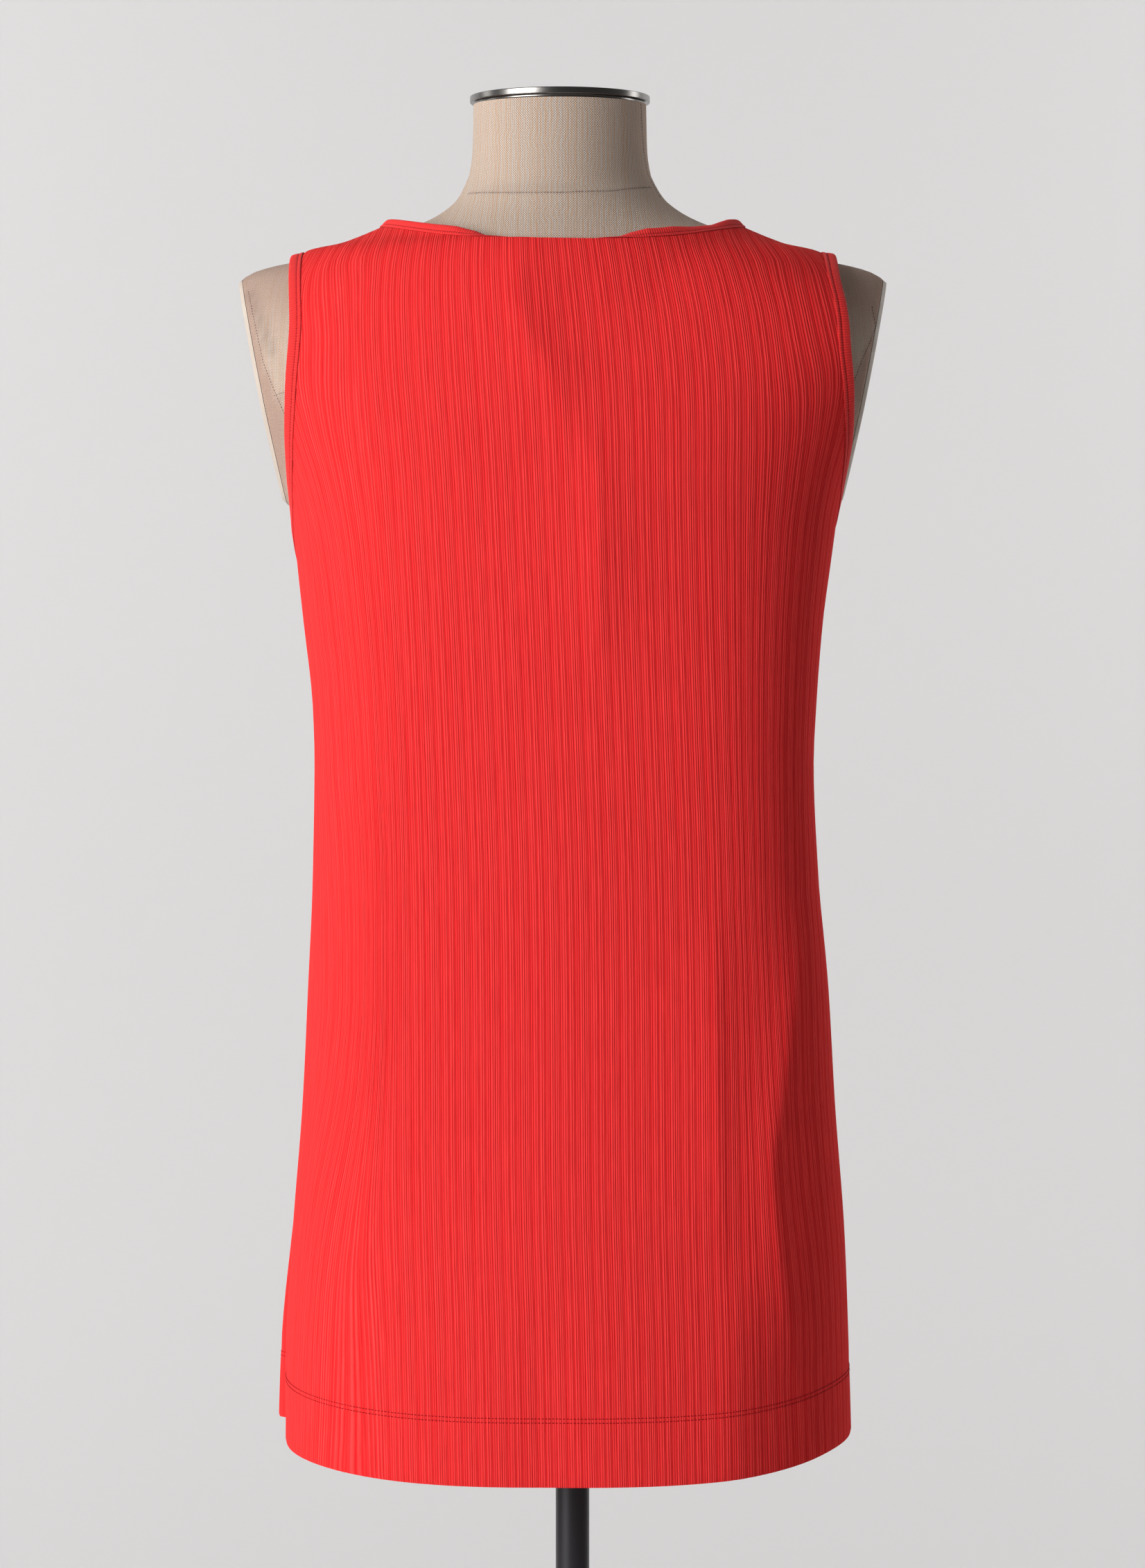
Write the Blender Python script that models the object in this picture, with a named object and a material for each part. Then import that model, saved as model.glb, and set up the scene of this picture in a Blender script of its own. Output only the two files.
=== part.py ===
"""Sleeveless rib-knit tunic worn by a limbless dress form on its stand.

Metres, +Z up. The origin is on the floor under the middle of the form. The front of the tunic
faces -Y and its back +Y, so the wearer's left is +X.
"""
import math
from collections import namedtuple

import bmesh
import bpy
from mathutils import Matrix, Vector

MM = 0.001
BACK, FRONT = 1, -1
LEFT, RIGHT = 1, -1

# Driving dimensions of the tunic
WALL = 1.2 * MM
SEAM_GAP = 0.3 * MM
BINDING_THICKNESS = 2.2 * MM
NECK_BINDING_WIDTH = 6.5 * MM
ARMHOLE_BINDING_WIDTH = 8.0 * MM
BINDING_FOLD = 0.8 * MM
SHOULDER_TIP = 158 * MM
SHOULDER_TIP_LEVEL = 1.3966
NECK_LEVEL = {BACK: 1.3985, FRONT: 1.3380}
NECK_CURVE = {BACK: 2.8, FRONT: 2.2}
UNDERARM_LEVEL = {LEFT: 1.2070, RIGHT: 1.2280}
ARMHOLE_REACH = {BACK: 74 * MM, FRONT: 76 * MM}
ARMHOLE_SHIFT = 0.35
SEAM_CURVE = 0.50
SURFACE_CURVE = 0.70
YOKE_DROP = 0.3
HEM_LEVEL = {BACK: 0.6610, FRONT: 0.6675}
HEM_SIDE_RISE = {LEFT: 10 * MM, RIGHT: 14 * MM}
HEM_CURVE = 3.2
HEM_DEPTH = 41 * MM
HEM_STEP = 1.5 * MM
SLIT_TOP = 0.8950

# Driving dimensions of the dress form and its stand
ARM_PLATE_CENTRE = Vector((182.5 * MM, 0, 1.3000))
ARM_PLATE_SLOPE = 0.20
ARM_PLATE_SPAN = 230 * MM
ARM_PLATE_THICKNESS = 6 * MM
NECK_TOP = 1.4872
NECK_LEAN = 1.7 * MM
NECK_BASE = 1.4050
CAP_RADIUS = 55.2 * MM
CAP_RECESS_RADIUS = 52.0 * MM
CAP_RECESS_HEIGHT = 1.6 * MM
CAP_RIM_HEIGHT = 4.0 * MM
CAP_CENTRE = Vector((NECK_LEAN, -8 * MM, 0))
STAND_X = -6 * MM
POLE_RADIUS = 10.4 * MM
BASE_RADIUS = 160 * MM
BASE_HEIGHT = 9 * MM
HUB_RADIUS = 24 * MM
HUB_TOP = 34 * MM
SOCKET_FLOOR = 4 * MM
FLANGE_RADIUS = 46 * MM
FLANGE_HEIGHT = 6 * MM
SLEEVE_RADIUS = 16 * MM
SLEEVE_LENGTH = 60 * MM

# Mesh fineness
COLUMNS_A_SIDE = 14
NECK_COLUMN = 7
NECK_PARTS = 4
ARMHOLE_ROWS = 14
SKIRT_ROWS = 13
HEM_ROWS = 3
FORM_SIDES = 40
FORM_STEP = 13 * MM
HIDDEN_STEP = 40 * MM
HIDDEN_TOP = 1.1900
TURNED_SIDES = 40

# A level section is a superellipse about the side seams, with its half widths to the left and
# right and its depths behind and in front, in millimetres; 2 is an ellipse, more is squarer.
Section = namedtuple("Section", "level left right back front squareness")

# The tunic's half widths are those of its panels: out to the side seams below the underarms, to
# the armhole seams above them, and to the shoulder seams at the top.
TUNIC_SECTIONS = (
    Section(1.4175, 99.0, 99.0, 76, 80, 1.90),
    Section(1.4118, 112.0, 112.0, 78, 83, 1.88),
    Section(1.4020, 137.0, 137.0, 84, 90, 1.88),
    Section(1.3966, 158.0, 158.0, 88, 95, 1.95),
    Section(1.3830, 156.8, 163.0, 94, 103, 2.10),
    Section(1.3620, 157.8, 166.2, 99, 111, 2.30),
    Section(1.3350, 158.0, 165.8, 102, 118, 2.50),
    Section(1.3050, 159.4, 168.4, 105, 126, 2.65),
    Section(1.2750, 162.2, 170.8, 106, 132, 2.80),
    Section(1.2500, 163.8, 169.4, 106, 135, 2.95),
    Section(1.2280, 164.0, 166.5, 106, 137, 3.10),
    Section(1.2070, 162.0, 163.5, 106, 138, 3.30),
    Section(1.1700, 157.8, 158.4, 105, 138, 3.55),
    Section(1.1187, 152.0, 154.3, 105, 138, 3.75),
    Section(1.0847, 150.8, 152.7, 106, 138, 3.85),
    Section(1.0166, 151.8, 155.6, 108, 138, 3.90),
    Section(0.9485, 154.8, 161.6, 111, 139, 3.85),
    Section(0.8804, 158.3, 165.8, 116, 141, 3.60),
    Section(0.7953, 166.0, 171.2, 123, 143, 3.20),
    Section(0.7272, 170.8, 172.6, 128, 145, 2.95),
    Section(0.6600, 172.0, 174.0, 131, 146, 2.80),
)

FORM_SECTIONS = (
    Section(1.4872, 52.8, 52.8, 45, 61, 2.00),
    Section(1.4600, 53.4, 53.4, 48, 61, 2.00),
    Section(1.4450, 55.4, 55.4, 51, 63, 2.00),
    Section(1.4360, 61.6, 61.6, 54, 65, 2.00),
    Section(1.4285, 62.5, 62.5, 58, 68, 2.00),
    Section(1.4200, 75.0, 75.0, 62, 71, 1.98),
    Section(1.4130, 90.0, 90.0, 66, 75, 1.92),
    Section(1.4060, 113.0, 113.0, 70, 79, 1.85),
    Section(1.3985, 136.0, 136.0, 73, 81, 1.78),
    Section(1.3920, 160.0, 160.0, 75, 83, 1.74),
    Section(1.3870, 183.0, 183.0, 73, 83, 1.70),
    Section(1.3830, 193.0, 193.0, 75, 88, 1.72),
    Section(1.3760, 200.0, 200.0, 81, 95, 1.76),
    Section(1.3600, 203.0, 203.0, 90, 105, 1.86),
    Section(1.3350, 203.0, 203.0, 98, 112, 1.92),
    Section(1.3050, 199.0, 199.0, 102, 119, 1.92),
    Section(1.2750, 186.0, 186.0, 104, 125, 1.84),
    Section(1.2550, 176.5, 176.5, 105, 128, 1.78),
    Section(1.2450, 171.2, 171.2, 105, 129, 1.80),
    Section(1.2370, 161.0, 161.0, 105, 129, 1.92),
    Section(1.2250, 157.5, 157.5, 105, 130, 2.10),
    Section(1.1900, 153.0, 153.0, 104, 130, 2.20),
    Section(1.1500, 147.0, 147.0, 101, 125, 2.30),
    Section(1.1000, 140.0, 140.0, 95, 112, 2.30),
    Section(1.0600, 138.0, 138.0, 92, 104, 2.30),
    Section(1.0000, 143.0, 143.0, 97, 106, 2.30),
    Section(0.9500, 148.0, 148.0, 103, 108, 2.30),
    Section(0.9000, 151.0, 151.0, 107, 109, 2.30),
    Section(0.8500, 152.0, 152.0, 108, 108, 2.30),
    Section(0.8000, 150.0, 150.0, 105, 105, 2.30),
)

# Below the slits the two panels part: how far each panel's side edge moves out at the hem, and
# how far the edges stand apart, in millimetres.
Slit = namedtuple("Slit", "hand back_out front_out apart")
SLITS = (
    Slit(LEFT, -2.0, 5.3, 1.5),
    Slit(RIGHT, 3.6, -4.0, 1.5),
)

# Soft folds: the path of each crest from its top to its foot as (across, level), how far it fades
# out to the left and to the right, how rounded the crest is, and its rise, in millimetres but for
# the levels: a rise below 0 is a trough.
Fold = namedtuple("Fold", "name path left right soft rise")
FOLDS = {
    BACK: (
        Fold(
            "crease under the neck",
            ((25, 1.392), (27, 1.375), (26, 1.358), (18, 1.336), (5, 1.310), (-3, 1.280)),
            48, 34, 2.0, 5.0,
        ),
        Fold(
            "crease down the middle back",
            ((-10, 1.295), (-20, 1.272), (-22, 1.228), (-22, 1.187), (-21, 1.140)),
            28, 26, 1.5, 3.8,
        ),
        Fold("fullness of the middle back", ((0, 1.260), (0, 0.500)), 60, 60, 60, 9.0),
        Fold(
            "hollow under the neck", ((-98, 1.404), (-62, 1.384), (-52, 1.355)), 18, 18, 10, -2.0,
        ),
        Fold("crease from the left armhole", ((149, 1.275), (125, 1.080)), 10, 10, 5, -2.5),
        Fold(
            "left ridge",
            ((110, 1.140), (112, 1.000), (114, 0.910), (118, 0.830), (122, 0.700)),
            22, 34, 6, 2.5,
        ),
        Fold("middle right ridge", ((-90, 0.970), (-92, 0.830)), 40, 12, 1.5, 2.4),
        Fold(
            "right ridge",
            ((-138, 0.970), (-125, 0.900), (-115, 0.866), (-110, 0.834), (-105, 0.790)),
            16, 18, 3, 3.5,
        ),
        Fold(
            "right hollow",
            ((-150, 0.990), (-146, 0.940), (-134, 0.890), (-126, 0.845), (-122, 0.800)),
            9, 9, 4, -2.0,
        ),
        Fold("hem ripple at the right", ((-103, 0.800), (-99, 0.600)), 18, 18, 9, 2.5),
        Fold("hem ripple in the middle", ((13, 0.780), (9, 0.600)), 20, 20, 12, -2.0),
    ),
    FRONT: (
        Fold("left crease from the bust", ((92, 1.150), (104, 0.760)), 16, 16, 9, 3.0),
        Fold("right crease from the bust", ((-86, 1.160), (-100, 0.720)), 18, 18, 9, 3.0),
        Fold("middle trough", ((6, 1.140), (-4, 0.690)), 22, 22, 14, -3.0),
        Fold("left hem ripple", ((46, 0.860), (54, 0.600)), 16, 16, 9, 2.5),
        Fold("right hem ripple", ((-42, 0.840), (-52, 0.600)), 16, 16, 9, 2.5),
    ),
}

# The neck binding stands up off the shoulders; between these places across the back it rolls in
# behind the panel. Each armhole binding lifts a little over the shoulder.
Roll = namedtuple("Roll", "x degrees")
NECK_STAND = -20
NECK_ROLL = (
    Roll(83 * MM, NECK_STAND),
    Roll(65 * MM, NECK_STAND),
    Roll(54 * MM, 6),
    Roll(46 * MM, 42),
    Roll(38 * MM, 78),
    Roll(32 * MM, 100),
    Roll(18 * MM, 165),
    Roll(-10 * MM, 165),
    Roll(-22 * MM, 96),
    Roll(-27 * MM, 76),
    Roll(-35 * MM, 40),
    Roll(-43 * MM, 8),
    Roll(-52 * MM, -18),
    Roll(-66 * MM, NECK_STAND),
    Roll(-82 * MM, 2),
    Roll(-94 * MM, 6),
    Roll(-104 * MM, NECK_STAND),
)
SHOULDER_LIFT = -8
SHOULDER_LIFT_FOOT = 1.3700


class Body:
    """A smooth upright shape read from a table of level sections."""

    # How much of its squareness past an ellipse a section keeps in front
    front_squareness = 1.0

    def __init__(self, sections):
        self.sections = sorted(sections, key=lambda section: section.level)
        self.levels = [section.level for section in self.sections]

    def slope(self, values, i):
        """A slope that never overshoots the table (Fritsch and Carlson)."""
        if i == 0 or i == len(values) - 1:
            j = min(i, len(values) - 2)
            return (values[j + 1] - values[j]) / (self.levels[j + 1] - self.levels[j])
        before = (values[i] - values[i - 1]) / (self.levels[i] - self.levels[i - 1])
        after = (values[i + 1] - values[i]) / (self.levels[i + 1] - self.levels[i])
        if before * after <= 0:
            return 0
        return 2 * before * after / (before + after)

    def read(self, column, level):
        """The column's value at a level, on a smooth curve through the rows."""
        values = [getattr(section, column) for section in self.sections]
        level = min(max(level, self.levels[0]), self.levels[-1])
        i = 0
        while i < len(self.levels) - 2 and self.levels[i + 1] < level:
            i += 1
        span = self.levels[i + 1] - self.levels[i]
        t = (level - self.levels[i]) / span
        return (
            (1 + 2 * t) * (1 - t) ** 2 * values[i]
            + t * (1 - t) ** 2 * span * self.slope(values, i)
            + t * t * (3 - 2 * t) * values[i + 1]
            + t * t * (t - 1) * span * self.slope(values, i + 1)
        )

    def edge(self, level, hand, facing):
        """How far behind or in front the stated half width is measured."""
        return 0

    def reach(self, level, hand, facing):
        """Half width, depth and squareness at a level, on one side and face."""
        depth = self.read("back" if facing == BACK else "front", level) * MM
        n = self.read("squareness", level)
        if facing == FRONT:
            n = mix(2, n, self.front_squareness)
        share = self.edge(level, hand, facing) / depth
        half_width = self.read("left" if hand == LEFT else "right", level) * MM
        return half_width / (1 - share ** n) ** (1 / n), depth, n

    def point(self, x, level, facing):
        """The surface point at a place across and a level."""
        half_width, depth, n = self.reach(level, LEFT if x > 0 else RIGHT, facing)
        share = min(abs(x) / half_width, 1)
        return Vector((x, facing * depth * (1 - share ** n) ** (1 / n), level))

    def excess(self, point, facing):
        """Below 0 inside, 0 on the surface, above 0 outside."""
        half_width, depth, n = self.reach(point.z, LEFT if point.x > 0 else RIGHT, facing)
        return (abs(point.x) / half_width) ** n + (abs(point.y) / depth) ** n - 1

    def normal(self, point, facing):
        """The outward direction, level along a seam where y is 0."""
        step = 0.2 * MM
        rise = Vector((0, 0, step))
        hand = LEFT if point.x > 0 else RIGHT
        half_width, depth, n = self.reach(point.z, hand, facing)
        return Vector((
            hand * n * (abs(point.x) / half_width) ** (n - 1) / half_width,
            facing * n * (abs(point.y) / depth) ** (n - 1) / depth,
            (self.excess(point + rise, facing) - self.excess(point - rise, facing)) / (2 * step),
        )).normalized()

    def level_of(self, x):
        """The level of the shoulder ridge at a place across."""
        low, high = SHOULDER_TIP_LEVEL, self.levels[-1]
        for _ in range(40):
            middle = (low + high) / 2
            if self.read("left", middle) * MM > abs(x):
                low = middle
            else:
                high = middle
        return low

    def ring(self, level, sides):
        """A level section as points, anticlockwise from above."""
        points = []
        for i in range(sides):
            angle = 2 * math.pi * i / sides
            along, out = math.cos(angle), math.sin(angle)
            hand = LEFT if along >= 0 else RIGHT
            facing = BACK if out >= 0 else FRONT
            half_width, depth, n = self.reach(level, hand, facing)
            points.append(Vector((
                hand * half_width * abs(along) ** (2 / n),
                facing * depth * abs(out) ** (2 / n),
                level,
            )))
        return points


class Worn(Body):
    """The worn cloth, whose half widths are measured at the armhole seams above the underarms."""

    front_squareness = 0.4

    def edge(self, level, hand, facing):
        return armhole_depth(level, hand, facing, SURFACE_CURVE)


def armhole_depth(level, hand, facing, underarm_curve):
    """How far behind or in front of the shoulder the armhole lies at a level."""
    middle = (SHOULDER_TIP_LEVEL + UNDERARM_LEVEL[hand]) / 2
    height = (level - middle) / (SHOULDER_TIP_LEVEL - middle)
    if abs(height) >= 1:
        return 0
    curve = mix(underarm_curve, SEAM_CURVE, (1 + height) / 2)
    return ARMHOLE_REACH[facing] * (1 - height ** 2) ** curve * (1 + ARMHOLE_SHIFT * height)


TUNIC = Worn(TUNIC_SECTIONS)
FORM = Body(FORM_SECTIONS)


def mix(start, end, share):
    return start + (end - start) * share


def ease(share):
    """A smooth step from 0 to 1."""
    share = min(max(share, 0), 1)
    return share * share * (3 - 2 * share)


# Materials and mesh objects

def material(name, colour, roughness, metallic=0.0):
    made = bpy.data.materials.new(name)
    made.use_nodes = True
    shader = made.node_tree.nodes["Principled BSDF"]
    shader.inputs["Base Color"].default_value = (*colour, 1)
    shader.inputs["Roughness"].default_value = roughness
    shader.inputs["Metallic"].default_value = metallic
    made.diffuse_color = (*colour, 1)
    return made


def add_object(name, mesh, finish, smooth=True):
    if finish:
        mesh.materials.append(finish)
    if smooth:
        mesh.shade_smooth()
        mesh.set_sharp_from_angle(angle=math.radians(40))
    made = bpy.data.objects.new(name, mesh)
    bpy.context.collection.objects.link(made)
    return made


def mesh_from(name, points, faces):
    """A closed mesh whose faces are turned to point out."""
    mesh = bpy.data.meshes.new(name)
    mesh.from_pydata(points, [], faces)
    shape = bmesh.new()
    shape.from_mesh(mesh)
    bmesh.ops.recalc_face_normals(shape, faces=shape.faces)
    shape.to_mesh(mesh)
    shape.free()
    return mesh


def bridge_rings(rings, closed):
    """Faces between rings of equal length; closed joins the last ring to the first."""
    sides = len(rings[0])
    faces = []
    for i in range(len(rings) if closed else len(rings) - 1):
        low = i * sides
        high = (i + 1) % len(rings) * sides
        for j in range(sides):
            k = (j + 1) % sides
            faces.append((low + j, low + k, high + k, high + j))
    if not closed:
        faces.append(tuple(range(sides - 1, -1, -1)))
        faces.append(tuple(range((len(rings) - 1) * sides, len(rings) * sides)))
    return faces


def turned(name, outline, centre, finish):
    """A turned solid from (radius, height) corners that start and end on its axis."""
    rings = []
    for radius, height in outline[1:-1]:
        rings.append([
            centre + Vector((
                radius * math.cos(2 * math.pi * i / TURNED_SIDES),
                radius * math.sin(2 * math.pi * i / TURNED_SIDES),
                height,
            ))
            for i in range(TURNED_SIDES)
        ])
    points = [point for ring in rings for point in ring]
    return add_object(name, mesh_from(name, points, bridge_rings(rings, closed=False)), finish)


def cut(target, cutter, operation):
    boolean = target.modifiers.new(cutter.name, "BOOLEAN")
    boolean.operation = operation
    boolean.solver = "EXACT"
    boolean.object = cutter
    cutter.hide_render = True
    cutter.display_type = "WIRE"


# Tunic: the seam lines of a panel

def column_share(column):
    """How far across a column lies, from -1 at the right edge to 1 at the left."""
    return math.sin(math.pi / 2 * column / COLUMNS_A_SIDE)


def neck_point():
    """How far out the neckline meets the shoulder seam."""
    return SHOULDER_TIP * column_share(NECK_COLUMN)


def top_place(column):
    """How far across the panel's top edge a column starts, even round the neckline."""
    if abs(column) >= NECK_COLUMN:
        return SHOULDER_TIP * column_share(column)
    return neck_point() * math.sin(math.pi / 2 * column / NECK_COLUMN)


def top_level(column, facing):
    """Level of the panel's top edge: shoulder seam, then neckline."""
    if abs(column) >= NECK_COLUMN:
        return TUNIC.level_of(top_place(column))
    share = abs(top_place(column) / neck_point()) ** NECK_CURVE[facing]
    return mix(NECK_LEVEL[facing], TUNIC.level_of(neck_point()), share)


def underarm_level(column):
    share = (column / COLUMNS_A_SIDE + 1) / 2
    return mix(UNDERARM_LEVEL[RIGHT], UNDERARM_LEVEL[LEFT], share)


def hem_level(column, facing):
    rise = HEM_SIDE_RISE[LEFT if column > 0 else RIGHT]
    return HEM_LEVEL[facing] + rise * abs(column_share(column)) ** HEM_CURVE


def armhole_drop(row):
    """Share of the way down from the shoulder tip to the underarm, even round the armhole."""
    return (1 - math.cos(math.pi * (row / ARMHOLE_ROWS) ** 1.2)) / 2


def armhole_edge(row, hand, facing):
    """How far out the armhole seam lies at a row."""
    level = mix(SHOULDER_TIP_LEVEL, UNDERARM_LEVEL[hand], armhole_drop(row))
    half_width, depth, n = TUNIC.reach(level, hand, facing)
    share = armhole_depth(level, hand, facing, SEAM_CURVE) / depth
    return half_width * (1 - share ** n) ** (1 / n)


def follow(path, level):
    """Where across a path of (across, level) places lies at a level."""
    for (x, high), (next_x, low) in zip(path, path[1:]):
        if level >= low:
            return mix(x, next_x, (high - level) / (high - low))
    return path[-1][0]


def fold_rise(x, level, facing):
    """How far the soft folds stand out at a place."""
    total = 0
    for fold in FOLDS[facing]:
        top, foot = fold.path[0][1], fold.path[-1][1]
        run = (top - level) / (top - foot)
        if 0 < run < 1:
            aside = x / MM - follow(fold.path, level)
            fade = fold.left if aside > 0 else fold.right
            near = math.exp((fold.soft - math.hypot(aside, fold.soft)) / fade)
            total += fold.rise * MM * math.sin(math.pi * run) ** 0.6 * near
    return total


def slit_shift(level, column, facing):
    """How a point beside a slit moves as the two panels part."""
    hand = LEFT if column > 0 else RIGHT
    slit = next(slit for slit in SLITS if slit.hand == hand)
    opened = ease((SLIT_TOP - level) / (SLIT_TOP - HEM_LEVEL[BACK]))
    near = ease((abs(column) / COLUMNS_A_SIDE - 0.7) / 0.3)
    out = slit.back_out if facing == BACK else slit.front_out
    return Vector((hand * out, facing * slit.apart, 0)) * MM * opened * near


def panel_rows(facing):
    """Each row of a panel as (outer points, outward directions, thickness)."""
    columns = range(-COLUMNS_A_SIDE, COLUMNS_A_SIDE + 1)
    grid = []
    for row in range(ARMHOLE_ROWS + 1):
        places = []
        for column in columns:
            hand = LEFT if column > 0 else RIGHT
            drop = armhole_drop(row)
            x = column_share(column) * armhole_edge(row, hand, facing)
            x = mix(top_place(column), x, ease(drop / YOKE_DROP))
            places.append((x, mix(top_level(column, facing), underarm_level(column), drop)))
        grid.append((places, WALL))
    skirt = [(i / SKIRT_ROWS, 0, WALL) for i in range(1, SKIRT_ROWS + 1)]
    turned_up = [
        (1, -mix(HEM_STEP, HEM_DEPTH, i / HEM_ROWS), 2 * WALL) for i in range(HEM_ROWS + 1)
    ]
    for share, lift, thickness in skirt + turned_up:
        places = []
        for column in columns:
            hand = LEFT if column > 0 else RIGHT
            stitching = hem_level(column, facing) + HEM_DEPTH
            level = mix(underarm_level(column), stitching, share) + lift
            half_width = TUNIC.reach(level, hand, facing)[0]
            places.append((column_share(column) * half_width, level))
        grid.append((places, thickness))
    rows = []
    for places, thickness in grid:
        points, normals = [], []
        for column, (x, level) in zip(columns, places):
            point = TUNIC.point(x, level, facing)
            normal = TUNIC.normal(point, facing)
            fade = 1 - abs(column / COLUMNS_A_SIDE) ** 6
            point += normal * fold_rise(x, level, facing) * fade
            point += slit_shift(level, column, facing)
            points.append(point + Vector((0, facing * SEAM_GAP / 2, 0)))
            normals.append(normal)
        rows.append((points, normals, thickness))
    return rows


def panel(name, rows, finish):
    """A cloth panel: its outer and inner faces, joined round the edge."""
    width = len(rows[0][0])
    outer = [point for points, _, _ in rows for point in points]
    inner = [
        point - normal * thickness
        for points, normals, thickness in rows
        for point, normal in zip(points, normals)
    ]
    shift = len(outer)
    faces = []
    for i in range(len(rows) - 1):
        for j in range(width - 1):
            a = i * width + j
            corners = (a, a + 1, a + width + 1, a + width)
            faces.append(corners)
            faces.append(tuple(shift + corner for corner in reversed(corners)))
    edge = list(range(width))
    edge += [i * width + width - 1 for i in range(1, len(rows))]
    edge += list(range(len(outer) - 2, len(outer) - width - 1, -1))
    edge += [i * width for i in range(len(rows) - 2, 0, -1)]
    for a, b in zip(edge, edge[1:] + edge[:1]):
        faces.append((b, a, shift + a, shift + b))
    return add_object(name, mesh_from(name, outer + inner, faces), finish)


# Tunic: the bindings, each a strip folded over the edge of both panels

def binding(name, edge, width, roll_at, finish):
    """A closed strip along (point, outward direction) pairs.

    It starts one seam gap off the panels' edge, lies in line with them, and where it rolls it
    turns in about that edge until it hangs behind the panel.
    """
    half = BINDING_THICKNESS / 2
    outline = (
        (0, -half),
        (0, half),
        (width - BINDING_FOLD, half),
        (width, 0.4 * half),
        (width, -0.4 * half),
        (width - BINDING_FOLD, -half),
    )
    centre = sum((point for point, _ in edge), Vector()) / len(edge)
    rings = []
    for i, (point, normal) in enumerate(edge):
        along = edge[(i + 1) % len(edge)][0] - edge[i - 1][0]
        inward = along.cross(normal).normalized()
        if inward.dot(centre - point) < 0:
            inward.negate()
        roll = math.radians(roll_at(point))
        reach = inward * math.cos(roll) - normal * math.sin(roll)
        face = inward * math.sin(roll) + normal * math.cos(roll)
        start = point - normal * WALL / 2
        start += reach * (SEAM_GAP + WALL / 2 * abs(math.sin(roll)))
        start += face * (WALL / 2 + 1.1 * SEAM_GAP + half) * (1 - math.cos(roll)) / 2
        rings.append([start + reach * u + face * v for u, v in outline])
    points = [point for ring in rings for point in ring]
    return add_object(name, mesh_from(name, points, bridge_rings(rings, closed=True)), finish)


def joined(back_edge, front_edge):
    """One loop from two edges that share their end seams, with the seam gap closed."""
    loop = []
    for (back_point, normal), (front_point, _) in (
        (back_edge[0], front_edge[0]),
        (back_edge[-1], front_edge[-1]),
    ):
        loop.append(((back_point + front_point) / 2, normal))
    return [loop[0]] + back_edge[1:-1] + [loop[1]] + front_edge[-2:0:-1]


def divided(loop, parts):
    """The loop with points added on its straight runs, so that a strip can turn along them."""
    points = []
    for (point, normal), (next_point, next_normal) in zip(loop, loop[1:] + loop[:1]):
        for i in range(parts):
            share = i / parts
            turned_normal = normal.lerp(next_normal, share).normalized()
            points.append((point.lerp(next_point, share), turned_normal))
    return points


def armhole_loop(rows, hand):
    column = -1 if hand == LEFT else 0
    edges = [
        [(points[column], normals[column]) for points, normals, _ in rows[facing][:ARMHOLE_ROWS + 1]]
        for facing in (BACK, FRONT)
    ]
    return joined(*edges)


def neck_loop(rows):
    first = COLUMNS_A_SIDE - NECK_COLUMN
    last = COLUMNS_A_SIDE + NECK_COLUMN + 1
    edges = [
        list(zip(rows[facing][0][0][first:last], rows[facing][0][1][first:last]))
        for facing in (BACK, FRONT)
    ]
    return joined(*edges)


def neck_roll(point):
    """How far the binding is rolled in, in degrees, at a place round the neck."""
    if point.y <= 0:
        return NECK_STAND
    for left, right in zip(NECK_ROLL, NECK_ROLL[1:]):
        if right.x <= point.x <= left.x:
            return mix(left.degrees, right.degrees, (left.x - point.x) / (left.x - right.x))
    return NECK_STAND


def armhole_roll(point):
    """How far the binding is lifted off the shoulder, in degrees, as a roll below 0."""
    height = (point.z - SHOULDER_LIFT_FOOT) / (SHOULDER_TIP_LEVEL - SHOULDER_LIFT_FOOT)
    return SHOULDER_LIFT * ease(height)


def build_tunic():
    knit = material("red rib knit", (0.78, 0.035, 0.032), 0.85)
    bound = material("red binding", (0.74, 0.030, 0.030), 0.85)
    rows = {facing: panel_rows(facing) for facing in (BACK, FRONT)}
    panel("back_panel", rows[BACK], knit)
    panel("front_panel", rows[FRONT], knit)
    for hand, name in ((LEFT, "armhole_binding_left"), (RIGHT, "armhole_binding_right")):
        loop = armhole_loop(rows, hand)
        binding(name, loop, ARMHOLE_BINDING_WIDTH, armhole_roll, bound)
    loop = divided(neck_loop(rows), NECK_PARTS)
    binding("neck_binding", loop, NECK_BINDING_WIDTH, neck_roll, bound)


# Dress form

def form_levels():
    """Levels up the form, closer where its outline turns level."""
    levels = [FORM.levels[0]]
    step = 0.5 * MM
    run = 0
    level = levels[0]
    while level + step < FORM.levels[-1]:
        widths = [FORM.read("left", level), FORM.read("left", level + step)]
        run += math.hypot(step, (widths[1] - widths[0]) * MM)
        level += step
        if run >= (HIDDEN_STEP if level < HIDDEN_TOP else FORM_STEP):
            levels.append(level)
            run = 0
    levels[-1] = FORM.levels[-1]
    return levels


def form_mesh(name):
    rings = [FORM.ring(level, FORM_SIDES) for level in form_levels()]
    points = []
    for ring in rings:
        lean = NECK_LEAN * ease((ring[0].z - NECK_BASE) / (NECK_TOP - NECK_BASE) * 2)
        points += [point + Vector((lean, 0, 0)) for point in ring]
    return mesh_from(name, points, bridge_rings(rings, closed=False))


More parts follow.
